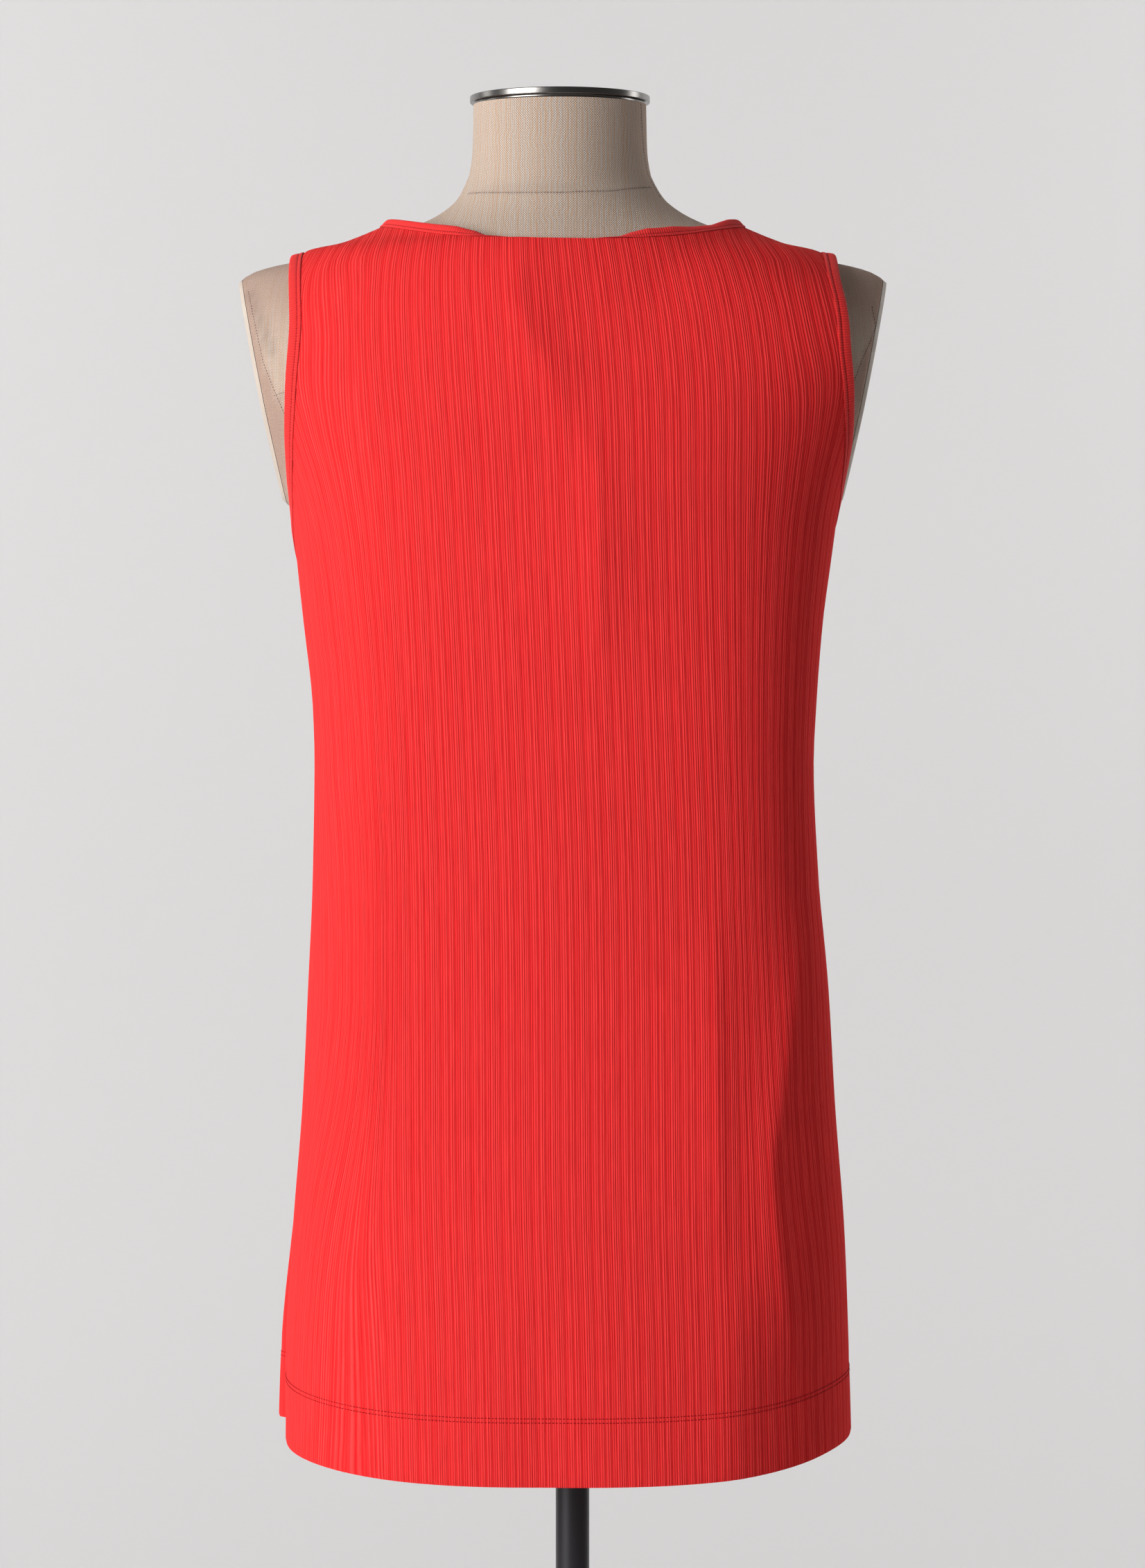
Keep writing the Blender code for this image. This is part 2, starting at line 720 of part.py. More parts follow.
def arm_slab(name, hand, near, far):
    """A cutter between two planes parallel to the arm plate, measured inwards from its face."""
    outward = Vector((1, 0, -ARM_PLATE_SLOPE)).normalized()
    mesh = bpy.data.meshes.new(name)
    shape = bmesh.new()
    bmesh.ops.create_cube(shape, size=1)
    lean = Matrix.Rotation(math.atan(ARM_PLATE_SLOPE), 4, "Y")
    middle = ARM_PLATE_CENTRE - outward * (near + far) / 2
    size = Matrix.Diagonal((far - near, ARM_PLATE_SPAN, ARM_PLATE_SPAN, 1))
    shape.transform(Matrix.Translation(middle) @ lean @ size)
    if hand == RIGHT:
        shape.transform(Matrix.Scale(-1, 4, Vector((1, 0, 0))))
        bmesh.ops.reverse_faces(shape, faces=shape.faces)
    shape.to_mesh(mesh)
    shape.free()
    return add_object(name, mesh, None, smooth=False)


def build_form():
    linen = material("linen", (0.52, 0.42, 0.33), 0.85)
    plate = material("arm plate", (0.55, 0.50, 0.44), 0.45)
    steel = material("chrome", (0.60, 0.58, 0.56), 0.15, 1.0)
    torso = add_object("form_torso", form_mesh("form_torso"), linen)
    for hand, side in ((LEFT, "left"), (RIGHT, "right")):
        arm_plate = add_object(f"form_arm_plate_{side}", form_mesh(f"form_arm_plate_{side}"), plate)
        slab = arm_slab(f"arm_plate_slab_{side}", hand, 0, ARM_PLATE_THICKNESS)
        cut(arm_plate, slab, "INTERSECT")
        reach = ARM_PLATE_THICKNESS + SEAM_GAP
        cut(torso, arm_slab(f"arm_cut_{side}", hand, -0.1, reach), "DIFFERENCE")
    base = NECK_TOP + SEAM_GAP
    cap = (
        (0, 0),
        (CAP_RECESS_RADIUS, 0),
        (CAP_RECESS_RADIUS, CAP_RECESS_HEIGHT),
        (CAP_RADIUS, CAP_RECESS_HEIGHT),
        (CAP_RADIUS, CAP_RECESS_HEIGHT + CAP_RIM_HEIGHT - 0.6 * MM),
        (CAP_RADIUS - 0.6 * MM, CAP_RECESS_HEIGHT + CAP_RIM_HEIGHT),
        (0, CAP_RECESS_HEIGHT + CAP_RIM_HEIGHT),
    )
    turned("form_neck_cap", cap, CAP_CENTRE + Vector((0, 0, base)), steel)


# Stand

def build_stand():
    black = material("black steel", (0.035, 0.033, 0.036), 0.35, 0.6)
    grey = material("flange", (0.30, 0.29, 0.28), 0.4, 1.0)
    form_foot = FORM.levels[0]
    bore = POLE_RADIUS + SEAM_GAP
    top = form_foot - SEAM_GAP
    pole_top = top - FLANGE_HEIGHT - SEAM_GAP
    axis = Vector((STAND_X, 0, 0))
    flange = (
        (0, pole_top + SEAM_GAP),
        (bore, pole_top + SEAM_GAP),
        (bore, top - FLANGE_HEIGHT - SLEEVE_LENGTH),
        (SLEEVE_RADIUS, top - FLANGE_HEIGHT - SLEEVE_LENGTH),
        (SLEEVE_RADIUS, top - FLANGE_HEIGHT),
        (FLANGE_RADIUS, top - FLANGE_HEIGHT),
        (FLANGE_RADIUS, top),
        (0, top),
    )
    turned("form_flange", flange, axis, grey)
    pole = (
        (0, SOCKET_FLOOR + SEAM_GAP),
        (POLE_RADIUS, SOCKET_FLOOR + SEAM_GAP),
        (POLE_RADIUS, pole_top),
        (0, pole_top),
    )
    turned("stand_pole", pole, axis, black)
    base = (
        (0, 0),
        (BASE_RADIUS - 1 * MM, 0),
        (BASE_RADIUS, 1 * MM),
        (BASE_RADIUS, BASE_HEIGHT - 3 * MM),
        (BASE_RADIUS - 1 * MM, BASE_HEIGHT - 1 * MM),
        (BASE_RADIUS - 3 * MM, BASE_HEIGHT),
        (HUB_RADIUS + 3 * MM, BASE_HEIGHT + 1 * MM),
        (HUB_RADIUS, BASE_HEIGHT + 4 * MM),
        (HUB_RADIUS, HUB_TOP - 2 * MM),
        (HUB_RADIUS - 2 * MM, HUB_TOP),
        (bore, HUB_TOP),
        (bore, SOCKET_FLOOR),
        (0, SOCKET_FLOOR),
    )
    turned("stand_base", base, axis, black)


def main():
    for old in list(bpy.data.objects):
        bpy.data.objects.remove(old, do_unlink=True)
    build_tunic()
    build_form()
    build_stand()


if __name__ == "__main__":
    main()
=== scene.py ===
"""Sleeveless rib-knit tunic on a limbless dress form: the detailed model, laid out as an add-on.

Metres, +Z up. The front of the tunic faces -Y and its back +Y, so the wearer's left is +X.
"""
import math
from collections import namedtuple

import bmesh
import bpy
import numpy as np
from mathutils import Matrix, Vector


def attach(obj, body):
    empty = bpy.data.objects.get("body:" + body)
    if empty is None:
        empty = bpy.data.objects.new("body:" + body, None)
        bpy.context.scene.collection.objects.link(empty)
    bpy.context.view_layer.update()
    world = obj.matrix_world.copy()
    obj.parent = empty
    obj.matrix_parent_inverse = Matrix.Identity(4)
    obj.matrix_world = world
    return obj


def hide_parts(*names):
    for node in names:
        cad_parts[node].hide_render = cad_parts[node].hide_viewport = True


bl_info = {
    "name": "Rib-knit tunic on a dress form",
    "version": (1, 0, 0),
    "blender": (4, 5, 0),
    "location": "3D View > Sidebar > Tunic",
    "description": "Makes the knitted tunic, its dress form, the stand and a plain studio",
    "category": "Object",
}

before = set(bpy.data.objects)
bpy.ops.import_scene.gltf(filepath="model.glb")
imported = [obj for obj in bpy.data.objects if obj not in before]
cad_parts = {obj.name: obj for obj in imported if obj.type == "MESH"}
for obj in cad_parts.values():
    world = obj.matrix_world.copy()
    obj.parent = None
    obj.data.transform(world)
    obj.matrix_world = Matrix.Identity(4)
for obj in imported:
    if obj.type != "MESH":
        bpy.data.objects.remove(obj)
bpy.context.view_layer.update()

MM = 0.001
BACK, FRONT = 1, -1
LEFT, RIGHT = 1, -1

# Tunic: its main sizes, as in the solids
WALL = 1.2 * MM
SEAM_GAP = 0.3 * MM
BINDING_THICKNESS = 2.2 * MM
NECK_BINDING_WIDTH = 6.5 * MM
ARMHOLE_BINDING_WIDTH = 8.0 * MM
SHOULDER_TIP = 158 * MM
SHOULDER_TIP_LEVEL = 1.3966
NECK_LEVEL = {BACK: 1.3985, FRONT: 1.3380}
NECK_CURVE = {BACK: 2.8, FRONT: 2.2}
NECK_SHARE = 0.5
UNDERARM_LEVEL = {LEFT: 1.2070, RIGHT: 1.2280}
ARMHOLE_REACH = {BACK: 74 * MM, FRONT: 76 * MM}
ARMHOLE_SHIFT = 0.35
SEAM_CURVE = 0.50
SURFACE_CURVE = 0.70
YOKE_DROP = 0.3
HEM_LEVEL = {BACK: 0.6610, FRONT: 0.6675}
HEM_SIDE_RISE = {LEFT: 10 * MM, RIGHT: 14 * MM}
HEM_CURVE = 3.2
HEM_DEPTH = 41 * MM
HEM_STEP = 1.5 * MM
SLIT_TOP = 0.8950

# Stitching, which the solids leave out
HEM_STITCH_ROWS = (0.0, -2.5 * MM)
HEM_STITCH_REACH = 0.985
HEM_THREAD_SINK = 0.06 * MM
HEM_FOOT_TUCK = 0.5 * MM
STITCH_PRESS = 0.22 * MM
STITCH_PRESS_WIDTH = 0.5 * MM
BINDING_RIB_RISE = 0.09 * MM
# How far across a binding its stitching lies, as a share of its width
STITCH_AT = 0.285
# Pitch, length and thread of each kind of stitch
BINDING_STITCH = (2.5 * MM, 2.1 * MM, 0.42 * MM)
HEM_STITCH = (2.1 * MM, 1.6 * MM, 0.62 * MM)
FORM_STITCH = (1.9 * MM, 1.3 * MM, 0.42 * MM)
# How high a stitch stands, as a share of its thread
STITCH_FLATNESS = 0.8

# Dress form and stand: their main sizes, as in the solids
ARM_PLATE_CENTRE = Vector((182.5 * MM, 0, 1.3000))
ARM_PLATE_SLOPE = 0.20
# What shows of the boards' 6 mm, as the linen wraps over their rims
ARM_PLATE_THICKNESS = 2.4 * MM
NECK_TOP = 1.4872
NECK_LEAN = 1.7 * MM
NECK_BASE = 1.4050
CAP_RADIUS = 55.2 * MM
CAP_RECESS_RADIUS = 52.0 * MM
CAP_RECESS_HEIGHT = 1.6 * MM
CAP_RIM_HEIGHT = 4.0 * MM
CAP_CENTRE = Vector((NECK_LEAN, -8 * MM, 0))
STAND_X = -6 * MM
POLE_RADIUS = 10.4 * MM
BASE_RADIUS = 160 * MM
BASE_HEIGHT = 9 * MM
HUB_RADIUS = 24 * MM
HUB_TOP = 34 * MM
SOCKET_FLOOR = 4 * MM
FLANGE_RADIUS = 46 * MM
FLANGE_HEIGHT = 6 * MM
SLEEVE_RADIUS = 16 * MM
SLEEVE_LENGTH = 60 * MM
# How far the linen's threads follow the form: its depths on the way down, its arcs across
LINEN_DEPTH_SHARE = 0.7
LINEN_ROUND_SHARE = 0.75
# The closer cloth of the arms: how it fades at its edges, and where it covers the shoulders
ARM_EDGE_FADE = 4 * MM
ARM_FADE = 30 * MM
ARM_TOP_LEVEL = 1.335
ARM_TOP_FADE = 35 * MM
ARM_TOP_START = 130 * MM
ARM_TOP_SHARE = 0.75

# A level section is a superellipse about the side seams, with its half widths to the left and
# right and its depths behind and in front, in millimetres; 2 is an ellipse, more is squarer.
Section = namedtuple("Section", "level left right back front squareness")
TUNIC_SECTIONS = [Section(*row) for row in (
    (1.4175, 99, 99, 76, 80, 1.9), (1.4118, 112, 112, 78, 83, 1.88), (1.402, 137, 137, 84, 90, 1.88),
    (1.3966, 158, 158, 88, 95, 1.95), (1.383, 156.8, 163, 94, 103, 2.1),
    (1.362, 157.8, 166.2, 99, 111, 2.3), (1.335, 158, 165.8, 102, 118, 2.5),
    (1.305, 159.4, 168.4, 105, 126, 2.65), (1.275, 162.2, 170.8, 106, 132, 2.8),
    (1.25, 163.8, 169.4, 106, 135, 2.95), (1.228, 164, 166.5, 106, 137, 3.1),
    (1.207, 162, 163.5, 106, 138, 3.3), (1.17, 157.8, 158.4, 105, 138, 3.55),
    (1.1187, 152, 154.3, 105, 138, 3.75), (1.0847, 150.8, 152.7, 106, 138, 3.85),
    (1.0166, 151.8, 155.6, 108, 138, 3.9), (0.9485, 154.8, 161.6, 111, 139, 3.85),
    (0.8804, 158.3, 165.8, 116, 141, 3.6), (0.7953, 166, 171.2, 123, 143, 3.2),
    (0.7272, 170.8, 172.6, 128, 145, 2.95), (0.66, 172, 174, 131, 146, 2.8),
)]
# The form is as wide to its left as to its right.
FORM_SECTIONS = [Section(level, half, half, *rest) for level, half, *rest in (
    (1.4872, 52.8, 45, 61, 2), (1.46, 53.4, 48, 61, 2), (1.445, 55.4, 51, 63, 2),
    (1.436, 59.4, 53, 64, 2), (1.4285, 64.2, 58, 68, 2), (1.42, 75, 62, 71, 1.98),
    (1.413, 90, 66, 75, 1.92), (1.406, 113, 70, 79, 1.85), (1.3985, 136, 73, 81, 1.78),
    (1.392, 160, 75, 83, 1.74), (1.387, 183, 73, 83, 1.7), (1.383, 193, 75, 88, 1.72),
    (1.376, 200, 81, 95, 1.76), (1.36, 203, 90, 105, 1.86), (1.335, 203, 98, 112, 1.92),
    (1.305, 199, 102, 119, 1.92), (1.275, 186, 104, 125, 1.84), (1.255, 176.5, 105, 128, 1.78),
    (1.245, 171.2, 105, 129, 1.8), (1.237, 161, 105, 129, 1.92), (1.225, 157.5, 105, 130, 2.1),
    (1.19, 153, 104, 130, 2.2), (1.15, 147, 101, 125, 2.3), (1.1, 140, 95, 112, 2.3),
    (1.06, 138, 92, 104, 2.3), (1, 143, 97, 106, 2.3), (0.95, 148, 103, 108, 2.3),
    (0.9, 151, 107, 109, 2.3), (0.85, 152, 108, 108, 2.3), (0.8, 150, 105, 105, 2.3),
)]

# Below the slits the two panels part: how far each panel's side edge moves out at the hem, and
# how far the edges stand apart, in millimetres. It starts at a share of the half width.
Slit = namedtuple("Slit", "back_out front_out apart")
SLIT_SPREAD_START = 0.7
SLITS = {LEFT: Slit(-2.0, 5.3, 1.5), RIGHT: Slit(3.6, -4.0, 1.5)}
# At the left slit the front panel turns in under the back panel, by so many millimetres at its
# edge, from this share of its half width on.
TURN_IN_START = 0.965
TURN_IN = 7.6

# Powers by which folds fade at their ends and at the side seams
FOLD_END_CURVE = 0.6
FOLD_SIDE_CURVE = 6

# Soft folds: the path of each crest from its top to its foot as (across, level), how far it fades
# out to the left and to the right, how rounded the crest is, and its rise, in millimetres but for
# the levels: a rise below 0 is a trough.
Fold = namedtuple("Fold", "name path left right soft rise")
FOLDS = {
    BACK: (
        Fold(
            "crease under the neck",
            ((24, 1.402), (27, 1.375), (26, 1.358), (18, 1.336), (5, 1.310), (-3, 1.280)),
            48, 34, 1.6, 5.6,
        ),
        Fold(
            "crease down the middle back",
            ((-10, 1.295), (-20, 1.272), (-22, 1.228), (-22, 1.187), (-21, 1.140)),
            28, 26, 1.5, 3.8,
        ),
        Fold("fullness of the middle back", ((0, 1.260), (0, 0.500)), 60, 60, 60, 9.0),
        Fold("hollow under the neck", ((-98, 1.404), (-62, 1.384), (-52, 1.355)), 18, 18, 10, -2.0),
        Fold("crease from the left armhole", ((149, 1.275), (125, 1.080)), 10, 10, 5, -2.5),
        Fold(
            "left ridge",
            ((110, 1.140), (112, 1.000), (114, 0.910), (118, 0.830), (122, 0.700)),
            22, 34, 6, 2.5,
        ),
        Fold("middle right ridge", ((-89, 1.000), (-90, 0.900), (-92, 0.790)), 40, 16, 1.5, 3.8),
        Fold(
            "right ridge",
            (
                (-144, 1.000), (-137, 0.957), (-126.5, 0.888), (-120.5, 0.848), (-127, 0.790),
                (-136, 0.725),
            ),
            18, 13, 2.5, 6.0,
        ),
        Fold("hem ripple at the right", ((-103, 0.800), (-99, 0.600)), 18, 18, 9, 2.5),
        Fold("hem ripple in the middle", ((13, 0.780), (9, 0.600)), 20, 20, 12, -2.0),
    ),
    FRONT: (
        Fold("left crease from the bust", ((92, 1.150), (104, 0.760)), 16, 16, 9, 3.0),
        Fold("right crease from the bust", ((-86, 1.160), (-100, 0.720)), 18, 18, 9, 3.0),
        Fold("middle trough", ((6, 1.140), (-4, 0.690)), 22, 22, 14, -3.0),
        Fold("left hem ripple", ((46, 0.860), (54, 0.600)), 16, 16, 9, 2.5),
        Fold("right hem ripple", ((-42, 0.840), (-52, 0.600)), 16, 16, 9, 2.5),
    ),
}

# The neck binding stands up off the shoulders; between these places across the back it rolls in
# behind the panel. Each armhole binding lifts a little over the shoulder.
Roll = namedtuple("Roll", "x degrees")
NECK_STAND = -20
NECK_ROLL = [Roll(x * MM, degrees) for x, degrees in (
    (83, NECK_STAND), (65, NECK_STAND), (54, 6), (46, 42), (38, 78), (32, 100), (18, 165), (-10, 165),
    (-22, 96), (-27, 76), (-35, 40), (-43, 8), (-52, -18), (-66, NECK_STAND), (-82, 2), (-94, 6),
    (-104, NECK_STAND),
)]
SHOULDER_LIFT = -8
SHOULDER_LIFT_FOOT = 1.3700

# The rib: places of its grooves as shares of one repeat, with how deep each one is, and how the
# knit has shifted to the right and stretched across, from the shoulders to the hem.
Groove = namedtuple("Groove", "place depth")
GROOVES = [Groove(*row) for row in (
    (0.08, 1), (0.155, 0.85), (0.23, 1), (0.445, 0.95), (0.655, 0.9), (0.725, 1), (0.905, 0.35),
)]
# Fine lines between the grooves, too shallow for relief, so drawn only as painted shade
FINE_LINES = [Groove(*row) for row in ((0.352, 0.35), (0.585, 0.45), (0.8, 0.28), (0.995, 0.3))]
WALES_IN_REPEAT = 14
COURSE_PITCH = 0.75 * MM
Grain = namedtuple("Grain", "level shift stretch left_fan right_fan")
GRAIN = [Grain(*row) for row in (
    (1.4175, -18.5, 0.915, 5, 5), (1.4, -16.8, 0.96, 8.5, 8), (1.38, -14.8, 1.005, 11.5, 10),
    (1.35, -11.8, 1.038, 14.5, 12), (1.317, -9.3, 1.05, 13.2, 9.5), (1.285, -7.6, 1.042, 9, 6),
    (1.25, -6.3, 1.025, 4, 2.5), (1.219, -5.2, 1.015, -0.5, -1), (1.155, -2.7, 1.003, -5, -5),
    (1.09, -0.2, 1, -9, -8), (1.022, 2, 1, -15, -10), (0.95, 3, 1, -18, -12),
    (0.9, 3.3, 0.999, -12, -11), (0.859, 3.5, 0.998, -1, -7), (0.826, 3.9, 0.997, 9, -3),
    (0.792, 4.7, 0.996, 17, 2), (0.76, 5.7, 0.995, 22, 5), (0.66, 7.7, 0.995, 30, 9),
)]
# A painted highlight lies beside each groove, this far from it.
GROOVE_HIGHLIGHT_SHIFT = 0.80 * MM
# Distances across the knit are measured round sections of one squareness, and above the top level
# they stay as they are there.
RIB_SQUARENESS = 3.1
RIB_TOP = 1.3880
RIB_PHASE = -8.9 * MM
# The wales fan out at the sides, from this share of the half width and over this share.
FAN_START = 0.58
FAN_SPREAD = 0.30

# Mesh fineness
ARMHOLE_ROWS = 30
# Above 1, the rows lie closer at the shoulders than at the underarms
ARMHOLE_ROW_CURVE = 1.2
SKIRT_ROWS = 40
HEM_LIFTS = (0.0, -0.8, -1.25, -1.7, -2.5, -3.1, -4.5, -12.0, -22.0, -32.0, -38.5, -40.6)
INNER_COLUMNS = 46
LAND_COLUMNS = (0.07, 0.93)
EDGE_SAMPLES = 400
RIDGE_SAMPLES = 400
LINEN_SAMPLES = 900
HEM_SAMPLES = 500
NECK_SAMPLES = 700
# Keeps the ends of the neck edges inside the shoulder seams
NECK_EDGE_REACH = 0.99999
ARMHOLE_SAMPLES = 500
SEAM_SAMPLES = 160
FIRST_STEP = 0.4 * MM
STEPS_IN_BINDING_RIB = 4
# How far the bindings' normals and paths are averaged, in steps
NORMAL_SMOOTHING = 8
PATH_SMOOTHING = 3
FORM_SIDES = 144
FORM_STEP = 5 * MM
HIDDEN_STEP = 25 * MM
HIDDEN_TOP = 1.1900
RING_STEP = 0.7 * MM
RING_FOOT = 1.4265
RING_TOP = 1.4385
TURNED_SIDES = 128
EDGE_MARGIN = 0.12 * MM
RIB_REACH = 262 * MM
BOARD_RIM_ANGLE = math.radians(35)

# Colours of the threads, of the painted shade and shadow, and of the flange
HEM_THREAD_RED = (0.42, 0.005, 0.012)
BINDING_THREAD_RED = (0.55, 0.012, 0.02)
SEAM_SHADOW_RED = (0.26, 0.0004, 0.006)
SEAM_THREAD_BROWN = (0.16, 0.09, 0.085)
WEFT_BROWN = (0.24, 0.15, 0.11)
GAP_SHADE_BROWN = (0.15, 0.10, 0.075)
SEAM_SHADE_BROWN = (0.07, 0.045, 0.045)
FLANGE_GREY = (0.30, 0.29, 0.28)

# Studio: the paper sweep, the lights and the camera
SWEEP_FRONT = 3.2
SWEEP_BEND = -1.2
SWEEP_RADIUS = 0.9
SWEEP_TOP = 4.2
SWEEP_SIDE = 3.4
SWEEP_STEPS = 12
CAMERA_PLACE = (-0.006, 2.77, 1.17)
CAMERA_TILT = 2.04
Light = namedtuple("Light", "name power share place target width height")
LIGHTS = (
    Light("side", "side_power", 1.0, (2.60, 2.20, 1.95), (0, 0, 1.12), 2.4, 2.2),
    Light("wall_left", "backdrop_power", 0.95, (2.3, -0.9, 2.2), (0.5, -2.1, 1.2), 1.0, 1.8),
    Light("wall_right", "backdrop_power", 1.95, (-2.3, -0.9, 1.9), (-0.4, -2.1, 1.2), 1.0, 1.8),
)


# ------------------------------- shapes of the tunic and form

def mix(start, end, share):
    return start + (end - start) * share


def ease(share):
    """A smooth step from 0 to 1."""
    share = np.clip(share, 0, 1)
    return share * share * (3 - 2 * share)


def unit(vectors):
    return vectors / np.linalg.norm(vectors, axis=-1, keepdims=True)


def handed(hand, left, right):
    return np.where(np.asarray(hand) == LEFT, left, right)


class Table:
    """Named columns by level, read on smooth curves through the rows."""

    def __init__(self, rows):
        rows = sorted(rows, key=lambda row: row.level)
        self.levels = np.array([row.level for row in rows])
        self.columns = {
            name: np.array([getattr(row, name) for row in rows], float) for name in rows[0]._fields
        }
        self.slopes = {name: self.slope(values) for name, values in self.columns.items()}

    def slope(self, values):
        """Slopes that never overshoot the table (Fritsch and Carlson)."""
        rises = np.diff(values) / np.diff(self.levels)
        before, after = rises[:-1], rises[1:]
        steep = np.where(before * after > 0, before + after, 1)
        inner = np.where(before * after > 0, 2 * before * after / steep, 0)
        return np.concatenate([rises[:1], inner, rises[-1:]])

    def read(self, column, level):
        """The column's value at a level, on a smooth curve through the rows."""
        values, slopes = self.columns[column], self.slopes[column]
        level = np.clip(level, self.levels[0], self.levels[-1])
        i = np.clip(np.searchsorted(self.levels, level, "left") - 1, 0, len(self.levels) - 2)
        span = self.levels[i + 1] - self.levels[i]
        t = (level - self.levels[i]) / span
        return (
            (1 + 2 * t) * (1 - t) ** 2 * values[i] + t * (1 - t) ** 2 * span * slopes[i]
            + t * t * (3 - 2 * t) * values[i + 1] + t * t * (t - 1) * span * slopes[i + 1]
        )


class Body(Table):
    """A smooth upright shape read from a table of level sections."""

    # How much of its squareness past an ellipse a section keeps in front
    front_squareness = 1.0

    def edge(self, level, hand, facing):
        """How far behind or in front the stated half width is measured."""
        return 0 * level

    def reach(self, level, hand, facing):
        """Half width, depth and squareness at a level, on one side and face."""
        level = np.asarray(level, float)
        depth = np.where(facing == BACK, self.read("back", level), self.read("front", level)) * MM
        n = self.read("squareness", level)
        n = np.where(facing == BACK, n, mix(2, n, self.front_squareness))
        share = self.edge(level, hand, facing) / depth
        half_width = handed(hand, self.read("left", level), self.read("right", level)) * MM
        return half_width / (1 - share ** n) ** (1 / n), depth, n

    def surface(self, x, level, facing):
        """Surface points and their outward directions."""
        hand = np.where(x > 0, LEFT, RIGHT)
        half_width, depth, n = self.reach(level, hand, facing)
        share = np.clip(np.abs(x) / half_width, 0, 1)
        out = (1 - share ** n) ** (1 / n)
        y = facing * depth * out

        def excess(at):
            half, deep, square = self.reach(at, hand, facing)
            return (np.abs(x) / half) ** square + (np.abs(y) / deep) ** square - 1

        step = 0.2 * MM
        across = hand * n * share ** (n - 1) / half_width
        behind = facing * n * out ** (n - 1) / depth
        up = (excess(level + step) - excess(level - step)) / (2 * step)
        return np.stack([x, y, level], -1), unit(np.stack([across, behind, up], -1))


class Worn(Body):
    """The worn cloth, whose half widths are measured at the armhole seams above the underarms."""

    front_squareness = 0.4

    def edge(self, level, hand, facing):
        return armhole_depth(level, hand, facing, SURFACE_CURVE)


def armhole_depth(level, hand, facing, underarm_curve):
    """How far behind or in front of the shoulder the armhole lies at a level."""
    middle = (SHOULDER_TIP_LEVEL + handed(hand, UNDERARM_LEVEL[LEFT], UNDERARM_LEVEL[RIGHT])) / 2
    height = np.clip((level - middle) / (SHOULDER_TIP_LEVEL - middle), -1, 1)
    curve = mix(underarm_curve, SEAM_CURVE, (1 + height) / 2)
    reach = np.where(facing == BACK, ARMHOLE_REACH[BACK], ARMHOLE_REACH[FRONT])
    return reach * (1 - height ** 2) ** curve * (1 + ARMHOLE_SHIFT * height)


TUNIC = Worn(TUNIC_SECTIONS)
FORM = Body(FORM_SECTIONS)


def ridge_level(x):
    """The level of the shoulder ridge at a place across."""
    levels = np.linspace(SHOULDER_TIP_LEVEL, TUNIC.levels[-1], RIDGE_SAMPLES)
    widths = TUNIC.read("left", levels) * MM
    return np.interp(np.abs(x), widths[::-1], levels[::-1])


def side_reach(level, hand, facing):
    """How far out a panel's side edge lies: its armhole seam, then its side seam."""
    half_width, depth, n = TUNIC.reach(level, hand, facing)
    share = armhole_depth(level, hand, facing, SEAM_CURVE) / depth
    return half_width * (1 - share ** n) ** (1 / n)


def neck_point():
    """How far out the neckline meets the shoulder seam."""
    return SHOULDER_TIP * math.sin(math.pi / 2 * NECK_SHARE)


def top_edge(u, facing):
    """Places across and levels of a panel's top edge, for u from -1 at its right to 1."""
    neck = np.abs(u) < NECK_SHARE
    x = np.where(
        neck,
        neck_point() * np.sin(math.pi / 2 * u / NECK_SHARE),
        SHOULDER_TIP * np.sin(math.pi / 2 * u),
    )
    share = np.clip(np.abs(x) / neck_point(), 0, 1) ** NECK_CURVE[facing]
    scoop = mix(NECK_LEVEL[facing], ridge_level(neck_point()), share)
    return x, np.where(neck, scoop, ridge_level(x))


def row_curve(drop, skirt, lift, u, facing):
    """Places across and levels of one row of a panel, from its right side to its left.

    drop is the share of the way down the armhole, skirt the share down to the hem stitching, and
    lift how far above the stitching the row lies.
    """
    hand = np.where(u > 0, LEFT, RIGHT)
    spread = np.sin(math.pi / 2 * u)
    underarm = mix(UNDERARM_LEVEL[RIGHT], UNDERARM_LEVEL[LEFT], (u + 1) / 2)
    if drop < 1:
        top_x, top_level = top_edge(u, facing)
        side_level = mix(SHOULDER_TIP_LEVEL, handed(hand, *UNDERARM_LEVEL.values()), drop)
        x = mix(top_x, spread * side_reach(side_level, hand, facing), ease(drop / YOKE_DROP))
        return x, mix(top_level, underarm, drop)
    rise = handed(hand, *HEM_SIDE_RISE.values())
    stitching = HEM_LEVEL[facing] + rise * np.abs(spread) ** HEM_CURVE + HEM_DEPTH
    level = mix(underarm, stitching, skirt) + lift
    return spread * TUNIC.reach(level, hand, facing)[0], level


def fold_rise(x, level, facing):
    """How far the soft folds stand out at a place."""
    total = np.zeros_like(x)
    for fold in FOLDS[facing]:
        places, levels = np.array(fold.path[::-1]).T
        run = np.clip((levels[-1] - level) / (levels[-1] - levels[0]), 0, 1)
        aside = x / MM - np.interp(level, levels, places)
        fade = np.where(aside > 0, fold.left, fold.right)
        near = np.exp((fold.soft - np.hypot(aside, fold.soft)) / fade)
        total += fold.rise * MM * np.sin(math.pi * run) ** FOLD_END_CURVE * near
    return total


